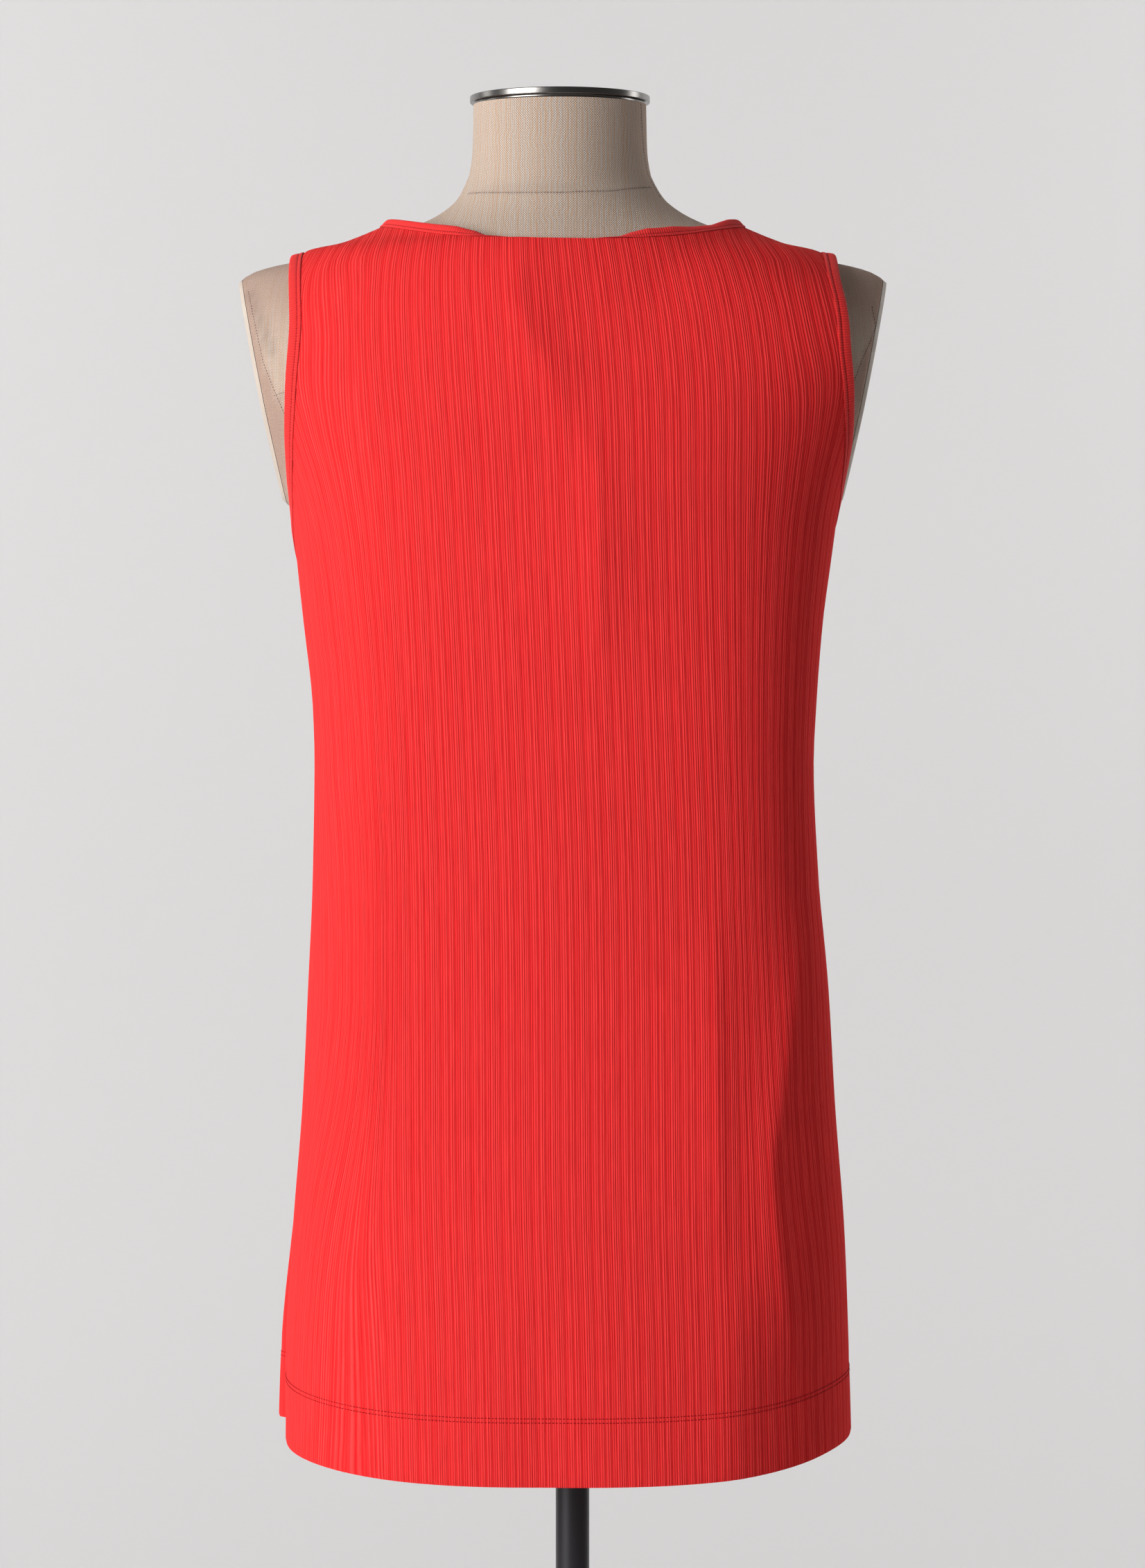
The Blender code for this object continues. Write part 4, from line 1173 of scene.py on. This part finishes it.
def binding_mesh(name, start, reach, face, roll, width, length, pitch):
    """A closed strip with the binding's section, and its along, width and shade attributes."""
    half = BINDING_THICKNESS / 2
    count, sides = len(start), len(BINDING_OUTLINE)
    at = np.arange(count) * (length / count)
    wave = np.cos(2 * math.pi * at / pitch) * BINDING_RIB_RISE
    rings = []
    for u, v, _ in BINDING_OUTLINE:
        over = np.full(count, u * width)
        if u < 0:
            over *= np.clip(np.cos(roll), 0, 1)
        # Cross ribs rise and fall round the strip, and fade at the seam
        fade = 0 if u <= 0.02 or v < -0.99 else 0.35 if abs(u - STITCH_AT) < 0.05 else 1.0
        out = v * half + wave * fade * np.sign(v)
        rings.append(start + reach * over[:, None] + face * out[:, None])
    faces = []
    for i in range(count):
        low, high = i * sides, (i + 1) % count * sides
        for k in range(sides):
            m = (k + 1) % sides
            faces.append((low + k, low + m, high + m, high + k))
    mesh = build_mesh(name, np.stack(rings, 1).reshape(-1, 3), faces)
    set_attributes(
        mesh, along=np.repeat(at, sides),
        width_at=np.tile([u * width + (1 - v) * half * 0.2 for u, v, _ in BINDING_OUTLINE], count),
        shade=np.tile([dark for _, _, dark in BINDING_OUTLINE], count),
    )
    return mesh


# ------------------------------- stitches

def stitch_tree():
    """Lays a stitch at each pitch along a path, flat on the cloth."""
    graph = GeometryGraph("Stitches", {"Pitch": 2.5 * MM, "Length": 2.0 * MM, "Thread": 0.35 * MM})
    path = graph.out("GeometryNodeMeshToCurve", (), {"Mesh": graph.given("Geometry")})
    values = {"Curve": path, "Length": graph.given("Pitch")}
    even = graph.out("GeometryNodeResampleCurve", {"mode": "LENGTH"}, values)
    lain = graph.out(
        "FunctionNodeAlignRotationToVector", {"axis": "X", "pivot_axis": "AUTO"},
        {"Vector": graph.out("GeometryNodeInputTangent")},
    )
    faced = graph.out(
        "FunctionNodeAlignRotationToVector", {"axis": "Z", "pivot_axis": "X"},
        {"Rotation": lain, "Vector": graph.named("out", "FLOAT_VECTOR")},
    )
    ball = graph.out("GeometryNodeMeshUVSphere", (), {"Segments": 6, "Rings": 5, "Radius": 0.5})
    thread = graph.given("Thread")
    size = graph.vector(X=graph.given("Length"), Y=thread, Z=thread * STITCH_FLATNESS)
    values = {"Points": even, "Instance": ball, "Rotation": faced, "Scale": size}
    return graph.finish(graph.out("GeometryNodeInstanceOnPoints", (), values))


def lay_stitches(name, paths, sizes, material):
    """Stitches of a pitch, length and thread along (points, ways out, whether closed) paths."""
    tree = stitch_tree()
    values = {**dict(zip(("Pitch", "Length", "Thread"), sizes)), "Material": material}
    shape = bmesh.new()
    for points, ways_out, closed in paths:
        count = len(points)
        edges = [(i, i + 1) for i in range(count - 1)] + [(count - 1, 0)] * closed
        mesh = bpy.data.meshes.new(f"{name}_path")
        mesh.from_pydata(points.tolist(), edges, [])
        layer = mesh.attributes.new("out", "FLOAT_VECTOR", "POINT")
        layer.data.foreach_set("vector", np.asarray(ways_out, np.float32).ravel())
        piece = apply_tree(add_object(f"{name}_path", mesh), tree, values)
        shape.from_mesh(piece.data)
        bpy.data.objects.remove(piece, do_unlink=True)
    return add_mesh(shape_mesh(name, shape), material)


def hem_path(facing, lift):
    """A path across a panel at a lift over the upper row of hem stitches."""
    u = np.linspace(-HEM_STITCH_REACH, HEM_STITCH_REACH, HEM_SAMPLES)
    x, level = row_curve(1, 1, lift, u, facing)
    points, normals = cloth(x, level, u, facing)
    return points - normals * HEM_THREAD_SINK, normals, False


# ------------------------------- the dress form

def form_levels():
    """Levels up the form, closer where its outline turns level."""
    levels, run, step = [FORM.levels[0]], 0.0, 0.5 * MM
    level = levels[0]
    while level + step < FORM.levels[-1]:
        widths = FORM.read("left", np.array([level, level + step])) * MM
        run += math.hypot(step, widths[1] - widths[0])
        level += step
        ring_near = RING_FOOT < level < RING_TOP
        if run >= (HIDDEN_STEP if level < HIDDEN_TOP else RING_STEP if ring_near else FORM_STEP):
            levels.append(level)
            run = 0.0
    levels[-1] = FORM.levels[-1]
    return np.array(levels)


def neck_lean(level):
    """How far the neck leans to the left at a level."""
    return NECK_LEAN * ease((level - NECK_BASE) / (NECK_TOP - NECK_BASE) * 2)


def form_shape():
    """The form as a closed bmesh."""
    angle = np.linspace(0, 2 * math.pi, FORM_SIDES, endpoint=False)
    along, out = np.cos(angle), np.sin(angle)
    along[np.abs(along) < 1e-12] = 0
    out[np.abs(out) < 1e-12] = 0
    hand, facing = np.where(along >= 0, LEFT, RIGHT), np.where(out >= 0, BACK, FRONT)
    rings = []
    for level in form_levels():
        half_width, depth, n = FORM.reach(np.full(FORM_SIDES, level), hand, facing)
        x = hand * half_width * np.abs(along) ** (2 / n)
        y = facing * depth * np.abs(out) ** (2 / n)
        rings.append([(a, b, level) for a, b in zip(x + neck_lean(level), y)])
    return ringed_shape(rings)


def slice_shape(shape, hand, depth, keep_inside):
    """Cuts the shape at a plane parallel to an arm plate, so far in from its face."""
    outward = Vector((hand, 0, -ARM_PLATE_SLOPE)).normalized()
    place = Vector((hand * ARM_PLATE_CENTRE.x, 0, ARM_PLATE_CENTRE.z)) - outward * depth
    result = bmesh.ops.bisect_plane(
        shape, geom=shape.verts[:] + shape.edges[:] + shape.faces[:], dist=1e-6,
        plane_co=place, plane_no=outward, clear_outer=keep_inside, clear_inner=not keep_inside,
    )
    edges = [item for item in result["geom_cut"] if isinstance(item, bmesh.types.BMEdge)]
    return bmesh.ops.holes_fill(shape, edges=edges)["faces"]


def linen_places(mesh):
    """The across and down attributes of the weave: level arcs and the run down the form."""
    places = np.array([vertex.co[:] for vertex in mesh.vertices])
    x, y, level = places.T
    levels = np.linspace(FORM.levels[0], FORM.levels[-1], LINEN_SAMPLES)
    depths = FORM.read("back", levels) * MM
    run = np.cumsum(np.hypot(np.gradient(levels), np.gradient(depths) * LINEN_DEPTH_SHARE))
    radius, angle = np.hypot(x, y), np.arctan2(np.abs(x), np.abs(y) + 1e-9)
    arc = np.where(y >= 0, 1, -1) * np.sign(x) * mix(np.abs(x), radius * angle, LINEN_ROUND_SHARE)
    set_attributes(mesh, across=arc, down=np.interp(level, levels, run))
    return places


def form_line(points, facing=BACK):
    """A line over the form's surface through a seam's places, with its outward directions."""
    places = np.array(points) * (MM, 1)
    run = np.concatenate([[0], np.cumsum(np.linalg.norm(np.diff(places, axis=0), axis=1))])
    at = np.linspace(0, run[-1], SEAM_SAMPLES)
    x, level = np.interp(at, run, places[:, 0]), np.interp(at, run, places[:, 1])
    surface, normals = FORM.surface(x, level, facing)
    surface[:, 0] += neck_lean(level)
    return surface, normals


# Seams and creases of the form's cover: their paths through (across in millimetres, level)
# places on its back, how far and how strongly shade is painted along them, and whether thread
# shows in them.
Seam = namedtuple("Seam", "name path radius strength stitched")

FORM_SEAMS = (
    Seam(
        "neck ring",
        ((56, 1.4310), (30, 1.4290), (0, 1.4285), (-30, 1.4300), (-55, 1.4350)),
        1.2 * MM, 0.30, True,
    ),
    Seam(
        "left arm seam",
        ((191.0, 1.3715), (180.7, 1.3275), (173.6, 1.3100), (166.9, 1.2950)),
        1.2 * MM, 0.12, True,
    ),
    Seam(
        "right arm seam",
        (
            (-187.7, 1.3617), (-189.8, 1.3497), (-186.4, 1.3410), (-181.8, 1.3310),
            (-177.7, 1.3210), (-174.8, 1.3130),
        ),
        1.2 * MM, 0.12, True,
    ),
    Seam("left arm crease", ((190.0, 1.3700), (175.3, 1.3346)), 7.0 * MM, 0.30, False),
    Seam("left short seam", ((173.6, 1.3075), (166.5, 1.3095)), 0.8 * MM, 0.12, True),
    Seam(
        "side seam of the neck",
        ((-49.3, 1.4856), (-50.8, 1.4600), (-53.0, 1.4450), (-57.0, 1.4365), (-60.5, 1.4295)),
        1.2 * MM, 0.35, True,
    ),
)


def seam_shade(points):
    """How much the seams of the cover shade each point, from 0 to 1."""
    shade = np.zeros(len(points))
    for seam in FORM_SEAMS:
        line, _ = form_line(seam.path)
        near = np.min([np.linalg.norm(points - spot, axis=1) for spot in line], axis=0)
        shade = np.maximum(shade, np.clip(1 - near / seam.radius, 0, 1) * seam.strength)
    return shade


def arm_share(points):
    """Where the cover turns to the closer cloth of the arms, outside the arm seams."""
    share = np.zeros(len(points))
    for seam in FORM_SEAMS[1:3]:
        across, levels = np.array(sorted(seam.path, key=lambda place: place[1])).T
        edge = np.interp(points[:, 2], levels, across * MM)
        beyond = (points[:, 0] - edge) * np.sign(across[0])
        share = np.maximum(share, ease(beyond / ARM_EDGE_FADE + 0.5))
    # It also covers most of the shoulders' ends, and fades out where the tunic hides it
    x, _, level = points.T
    top = ease((level - ARM_TOP_LEVEL) / ARM_TOP_FADE)
    top = top * ease((np.abs(x) - ARM_TOP_START) / ARM_FADE) * ARM_TOP_SHARE
    return np.maximum(share, top) * ease((level - HIDDEN_TOP) / ARM_FADE)


def board_mesh(name, hand):
    """A board that closes an arm, with its rim rounded."""
    shape = form_shape()
    slice_shape(shape, hand, 0, True)
    slice_shape(shape, hand, ARM_PLATE_THICKNESS, False)
    bmesh.ops.remove_doubles(shape, verts=shape.verts, dist=1e-5)
    bmesh.ops.recalc_face_normals(shape, faces=shape.faces)
    rim = [
        edge for edge in shape.edges
        if len(edge.link_faces) == 2 and edge.calc_face_angle() > BOARD_RIM_ANGLE
    ]
    bmesh.ops.bevel(
        shape, geom=rim, offset=1.0 * MM, segments=3, profile=0.5, affect="EDGES",
        clamp_overlap=True,
    )
    return shape_mesh(name, shape)


def turned_mesh(name, outline, centre):
    """A turned solid from (radius, height) corners that start and end on its axis."""
    turns = [2 * math.pi * i / TURNED_SIDES for i in range(TURNED_SIDES)]
    rings = [
        [centre + Vector((radius * math.cos(t), radius * math.sin(t), height)) for t in turns]
        for radius, height in outline[1:-1]
    ]
    return shape_mesh(name, ringed_shape(rings), turn_out=True)


def rounded(outline, radius, parts=4):
    """An outline of (radius, height) corners with its corners rounded."""
    result = [outline[0]]
    for before, corner, after in zip(outline, outline[1:], outline[2:]):
        here = np.array(corner)
        ways = [np.array(before) - here, np.array(after) - here]
        lengths = [np.linalg.norm(way) for way in ways]
        reach = min(radius, lengths[0] / 2.2, lengths[1] / 2.2)
        ends = [here + way / length * reach for way, length in zip(ways, lengths)]
        for k in range(parts + 1):
            t = k / parts
            spot = (1 - t) ** 2 * ends[0] + 2 * t * (1 - t) * here + t * t * ends[1]
            result.append((max(float(spot[0]), 1e-5), float(spot[1])))
    result.append(outline[-1])
    return result


# ------------------------------- settings and operators

def colour_property(name, description, default):
    return bpy.props.FloatVectorProperty(
        name=name, description=description, default=default, size=3, subtype="COLOR", min=0, max=1
    )


def length_property(name, description, default):
    return bpy.props.FloatProperty(
        name=name, description=description, default=default, min=0, unit="LENGTH", precision=5
    )


class TunicSettings(bpy.types.PropertyGroup):
    """Sizes and colours of the knitted tunic"""

    rib_repeat: length_property("Rib repeat", "Width of one repeat of the rib", 17.6 * MM)
    groove_width: length_property("Groove width", "Width of a groove of the rib", 0.56 * MM)
    groove_depth: length_property("Groove depth", "Depth of a groove of the rib", 0.34 * MM)
    line_width: length_property("Line width", "Width of the dark line in a groove", 0.88 * MM)
    binding_pitch: length_property("Binding rib", "Pitch of the ribs across a binding", 1.6 * MM)
    red: colour_property("Red", "The knit on its lands", (0.91, 0.055, 0.054))
    # Painted shade in the grooves and between the wales
    red_deep: colour_property("Deep red", "The knit in its grooves", (0.64, 0.0003, 0.005))
    # Painted highlight beside the grooves
    red_bright: colour_property("Bright red", "The lit edges of the grooves", (0.97, 0.085, 0.085))
    binding_red: colour_property("Binding red", "The knit of the bindings", (0.86, 0.030, 0.029))


class FormSettings(bpy.types.PropertyGroup):
    """Sizes and colours of the dress form and its stand"""

    thread_pitch: length_property("Thread pitch", "Width of one thread of the linen", 0.76 * MM)
    sand: colour_property("Sand", "Main threads of the linen", (0.86, 0.67, 0.51))
    grey: colour_property("Grey", "Grey threads of the linen", (0.78, 0.83, 0.85))
    rust: colour_property("Rust", "Rust threads of the linen", (0.86, 0.50, 0.28))
    cream: colour_property("Cream", "Pale threads of the linen", (1.0, 0.91, 0.78))
    arm: colour_property("Arm", "The closer cloth over the arms", (0.49, 0.265, 0.22))
    plate: colour_property("Arm plate", "The glazed arm plates", (0.52, 0.44, 0.37))
    chrome: colour_property("Chrome", "The neck cap", (0.21, 0.20, 0.19))
    black: colour_property("Black", "The painted pole and base", (0.030, 0.028, 0.032))


class StudioSettings(bpy.types.PropertyGroup):
    """The plain studio"""

    paper: colour_property("Paper", "The floor and backdrop", (0.655, 0.650, 0.648))
    side_power: bpy.props.FloatProperty(
        name="Side light", description="Power of the large light at the left", default=178, min=0,
        unit="POWER",
    )
    backdrop_power: bpy.props.FloatProperty(
        name="Backdrop light", description="Power of each light on the backdrop", default=16,
        min=0, unit="POWER",
    )
    ambient: bpy.props.FloatProperty(
        name="Ambient", description="Brightness of the room", default=0.10, min=0
    )
    lens: bpy.props.FloatProperty(
        name="Lens", description="Focal length on a 36 mm sensor", default=103.4, min=1,
        unit="CAMERA",
    )


class MakeStudio(bpy.types.Operator):
    """Makes the floor, backdrop, lights and camera"""

    bl_idname = "tunic.make_studio"
    bl_label = "Studio"

    def execute(self, context):
        scene, settings = context.scene, context.scene.tunic_studio
        profile = [(SWEEP_FRONT, 0.0)]
        for k in range(SWEEP_STEPS + 1):
            turn = math.pi / 2 * k / SWEEP_STEPS
            y = SWEEP_BEND - SWEEP_RADIUS * math.sin(turn)
            profile.append((y, SWEEP_RADIUS - SWEEP_RADIUS * math.cos(turn)))
        profile.append((SWEEP_BEND - SWEEP_RADIUS, SWEEP_TOP))
        points = [(x, y, z) for x in (-SWEEP_SIDE, SWEEP_SIDE) for y, z in profile]
        count = len(profile)
        faces = [(i, i + 1, count + i + 1, count + i) for i in range(count - 1)]
        mesh = bpy.data.meshes.new("studio_sweep")
        mesh.from_pydata(points, [], faces)
        add_mesh(mesh, studio_material("studio paper", settings.paper))
        scene.world = bpy.data.worlds.new("studio")
        scene.world.use_nodes = True
        background = scene.world.node_tree.nodes["Background"]
        background.inputs["Color"].default_value = (1, 0.99, 0.98, 1)
        background.inputs["Strength"].default_value = settings.ambient
        scene.view_settings.view_transform = "Standard"
        for light in LIGHTS:
            data = bpy.data.lights.new(light.name, "AREA")
            data.shape = "RECTANGLE"
            data.size, data.size_y = light.width, light.height
            data.energy = getattr(settings, light.power) * light.share
            made = add_object(light.name, data)
            made.location = light.place
            way = Vector(light.target) - Vector(light.place)
            made.rotation_euler = way.to_track_quat("-Z", "Y").to_euler()
        data = bpy.data.cameras.new("camera")
        data.lens = settings.lens
        data.sensor_width = 36
        data.clip_end = 50
        scene.camera = add_object("camera", data)
        scene.camera.location = CAMERA_PLACE
        scene.camera.rotation_euler = (math.radians(90 - CAMERA_TILT), 0, math.pi)
        return {"FINISHED"}


class MakePanels(bpy.types.Operator):
    """Makes the back and front panels in rib knit"""

    bl_idname = "tunic.make_panels"
    bl_label = "Panels"

    def execute(self, context):
        settings = context.scene.tunic_cloth
        knit = knit_material("red rib knit", settings)
        ribs = RibTable()
        columns = rib_columns(settings.rib_repeat, settings.groove_width, RIB_REACH)
        tree = rib_tree(settings.groove_width / settings.rib_repeat / 2)
        for name, facing in (("back_panel", BACK), ("front_panel", FRONT)):
            piece = add_mesh(panel_mesh(f"{name}_knit", facing, ribs, columns), knit, 75)
            apply_tree(piece, tree, {
                "Repeat": settings.rib_repeat,
                "Groove depth": settings.groove_depth,
                "Material": knit,
            })
            declare(piece, "red_knit", name)
        return {"FINISHED"}


class MakeBindings(bpy.types.Operator):
    """Makes the neck and armhole bindings, with their stitching"""

    bl_idname = "tunic.make_bindings"
    bl_label = "Bindings"

    def execute(self, context):
        settings = context.scene.tunic_cloth
        finish = binding_material("red binding", settings)
        thread = thread_material("red thread", BINDING_THREAD_RED)
        self.make("armhole_binding_left", LEFT, settings, finish, thread)
        self.make("armhole_binding_right", RIGHT, settings, finish, thread)
        self.make("neck_binding", None, settings, finish, thread)
        return {"FINISHED"}

    def make(self, name, hand, settings, finish, thread):
        """One binding: round the armhole of a hand, or round the neck."""
        if hand is None:
            edges = [neck_edge(facing) for facing in (BACK, FRONT)]
            width, roll_at = NECK_BINDING_WIDTH, neck_roll
        else:
            edges = [side_edge(facing, hand) for facing in (BACK, FRONT)]
            width, roll_at = ARMHOLE_BINDING_WIDTH, armhole_roll
        points, normals = ring_path(*edges)
        length, points, normals = resampled(points, normals, FIRST_STEP)
        # A whole number of ribs goes round the ring
        ribs = round(length / settings.binding_pitch)
        step = length / ribs / STEPS_IN_BINDING_RIB
        length, points, normals = resampled(points, normals, step)
        normals = unit(smoothed(normals, NORMAL_SMOOTHING))
        path = smoothed(points, PATH_SMOOTHING)
        start, reach, face, roll = binding_frames(path, normals, roll_at)
        pitch = length / round(length / settings.binding_pitch)
        mesh = binding_mesh(f"{name}_knit", start, reach, face, roll, width, length, pitch)
        declare(add_mesh(mesh, finish, 80), "red_binding", name)
        seam = start + reach * STITCH_AT * width
        row = seam + face * 0.80 * BINDING_THICKNESS / 2
        under = seam - face * 0.96 * BINDING_THICKNESS / 2
        paths = [(row, face, True), (under, -face, True)]
        stitches = lay_stitches(f"{name}_stitches", paths, BINDING_STITCH, thread)
        declare(stitches, "red_binding")


class MakeHems(bpy.types.Operator):
    """Makes the twin rows of stitches along the hems"""

    bl_idname = "tunic.make_hems"
    bl_label = "Hem stitches"

    def execute(self, context):
        thread = thread_material("hem thread", HEM_THREAD_RED)
        for name, facing in (("back_hem", BACK), ("front_hem", FRONT)):
            paths = [hem_path(facing, lift) for lift in HEM_STITCH_ROWS]
            declare(lay_stitches(f"{name}_stitches", paths, HEM_STITCH, thread), "red_knit")
        return {"FINISHED"}


class MakeForm(bpy.types.Operator):
    """Makes the linen torso, its arm plates and its neck cap"""

    bl_idname = "tunic.make_form"
    bl_label = "Dress form"

    def execute(self, context):
        settings = context.scene.tunic_form
        shape = form_shape()
        for hand in (LEFT, RIGHT):
            slice_shape(shape, hand, ARM_PLATE_THICKNESS + SEAM_GAP, True)
        mesh = shape_mesh("form_torso_linen", shape, turn_out=True)
        places = linen_places(mesh)
        set_attributes(mesh, shade=seam_shade(places), arm=arm_share(places))
        declare(add_mesh(mesh, linen_material("linen", settings), 50), "linen", "form_torso")
        plate = plate_material("arm plate", settings.plate)
        for hand, node in ((LEFT, "form_arm_plate_left"), (RIGHT, "form_arm_plate_right")):
            declare(add_mesh(board_mesh(f"{node}_board", hand), plate, 40), "arm_plate", node)
        top = CAP_RECESS_HEIGHT + CAP_RIM_HEIGHT
        cap = rounded([
            (0, 0), (CAP_RECESS_RADIUS, 0), (CAP_RECESS_RADIUS, CAP_RECESS_HEIGHT),
            (CAP_RADIUS, CAP_RECESS_HEIGHT), (CAP_RADIUS, top), (CAP_RADIUS - 4 * MM, top), (0, top),
        ], 0.6 * MM)
        centre = CAP_CENTRE + Vector((0, 0, NECK_TOP + SEAM_GAP))
        chrome = metal_material("neck cap chrome", settings.chrome, 0.26, 1.0, 1.0, 0.05)
        piece = add_mesh(turned_mesh("form_neck_cap_chrome", cap, centre), chrome, 35)
        declare(piece, "neck_cap_chrome", "form_neck_cap")
        return {"FINISHED"}


class MakeFormSeams(bpy.types.Operator):
    """Makes the stitched seams of the linen cover"""

    bl_idname = "tunic.make_form_seams"
    bl_label = "Linen seams"

    def execute(self, context):
        thread = thread_material("seam thread", SEAM_THREAD_BROWN)
        paths = []
        for seam in FORM_SEAMS:
            if seam.stitched:
                points, normals = form_line(seam.path)
                paths.append((points + normals * 0.02 * MM, normals, False))
        declare(lay_stitches("form_seam_stitches", paths, FORM_STITCH, thread), "linen")
        return {"FINISHED"}


class MakeStand(bpy.types.Operator):
    """Makes the flange, the pole and the round base"""

    bl_idname = "tunic.make_stand"
    bl_label = "Stand"

    def execute(self, context):
        bore = POLE_RADIUS + SEAM_GAP
        top = float(FORM.levels[0]) - SEAM_GAP
        under = top - FLANGE_HEIGHT
        pole_top = under - SEAM_GAP
        flange = [
            (0, pole_top + SEAM_GAP), (bore, pole_top + SEAM_GAP), (bore, under - SLEEVE_LENGTH),
            (SLEEVE_RADIUS, under - SLEEVE_LENGTH), (SLEEVE_RADIUS, under),
            (FLANGE_RADIUS, under), (FLANGE_RADIUS, top), (0, top),
        ]
        pole = [
            (0, SOCKET_FLOOR + SEAM_GAP), (POLE_RADIUS, SOCKET_FLOOR + SEAM_GAP),
            (POLE_RADIUS, pole_top), (0, pole_top),
        ]
        base = [
            (0, 0), (BASE_RADIUS - 1 * MM, 0), (BASE_RADIUS, 1 * MM),
            (BASE_RADIUS, BASE_HEIGHT - 3 * MM), (BASE_RADIUS - 1 * MM, BASE_HEIGHT - 1 * MM),
            (BASE_RADIUS - 3 * MM, BASE_HEIGHT), (HUB_RADIUS + 3 * MM, BASE_HEIGHT + 1 * MM),
            (HUB_RADIUS, BASE_HEIGHT + 4 * MM), (HUB_RADIUS, HUB_TOP - 2 * MM),
            (HUB_RADIUS - 2 * MM, HUB_TOP), (bore, HUB_TOP), (bore, SOCKET_FLOOR),
            (0, SOCKET_FLOOR),
        ]
        paint = context.scene.tunic_form.black
        black = metal_material("black steel", paint, 0.36, 0.35, 0.2, 0.06)
        steel = metal_material("flange steel", FLANGE_GREY, 0.4, 1.0, 8.0, 0.08)
        parts = (
            ("form_flange", flange, steel, "flange_steel", 0.5 * MM),
            ("stand_pole", pole, black, "black_steel", 0.6 * MM),
            ("stand_base", base, black, "black_steel", 0.8 * MM),
        )
        for name, outline, finish, slot, radius in parts:
            mesh = turned_mesh(f"{name}_turned", rounded(outline, radius), Vector((STAND_X, 0, 0)))
            declare(add_mesh(mesh, finish, 35), slot, name)
        return {"FINISHED"}


class DeclareCloth(bpy.types.Operator):
    """Does nothing."""

    bl_idname = "tunic.declare_cloth"
    bl_label = "Cloth sizes"

    def execute(self, context):
        return {"FINISHED"}


OPERATORS = (
    MakeStudio, MakePanels, MakeBindings, MakeHems, MakeForm, MakeFormSeams, MakeStand,
    DeclareCloth,
)

class TunicPanel(bpy.types.Panel):
    """Lists the makers and their settings"""

    bl_idname = "VIEW3D_PT_tunic"
    bl_label = "Rib-knit tunic"
    bl_space_type = "VIEW_3D"
    bl_region_type = "UI"
    bl_category = "Tunic"

    def draw(self, context):
        layout = self.layout
        for operator in OPERATORS:
            layout.operator(operator.bl_idname)
        for group in (context.scene.tunic_cloth, context.scene.tunic_form, context.scene.tunic_studio):
            box = layout.box()
            for name in group.bl_rna.properties.keys():
                if name not in {"rna_type", "name"}:
                    box.prop(group, name)


GROUPS = {"tunic_cloth": TunicSettings, "tunic_form": FormSettings, "tunic_studio": StudioSettings}

def register():
    for made in (*GROUPS.values(), *OPERATORS, TunicPanel):
        bpy.utils.register_class(made)
    for name, group in GROUPS.items():
        setattr(bpy.types.Scene, name, bpy.props.PointerProperty(type=group))


def unregister():
    for name in GROUPS:
        delattr(bpy.types.Scene, name)
    for made in reversed((*GROUPS.values(), *OPERATORS, TunicPanel)):
        bpy.utils.unregister_class(made)


def main():
    register()
    for operator in OPERATORS:
        category, name = operator.bl_idname.split(".")
        getattr(getattr(bpy.ops, category), name)()


if __name__ == "__main__":
    main()
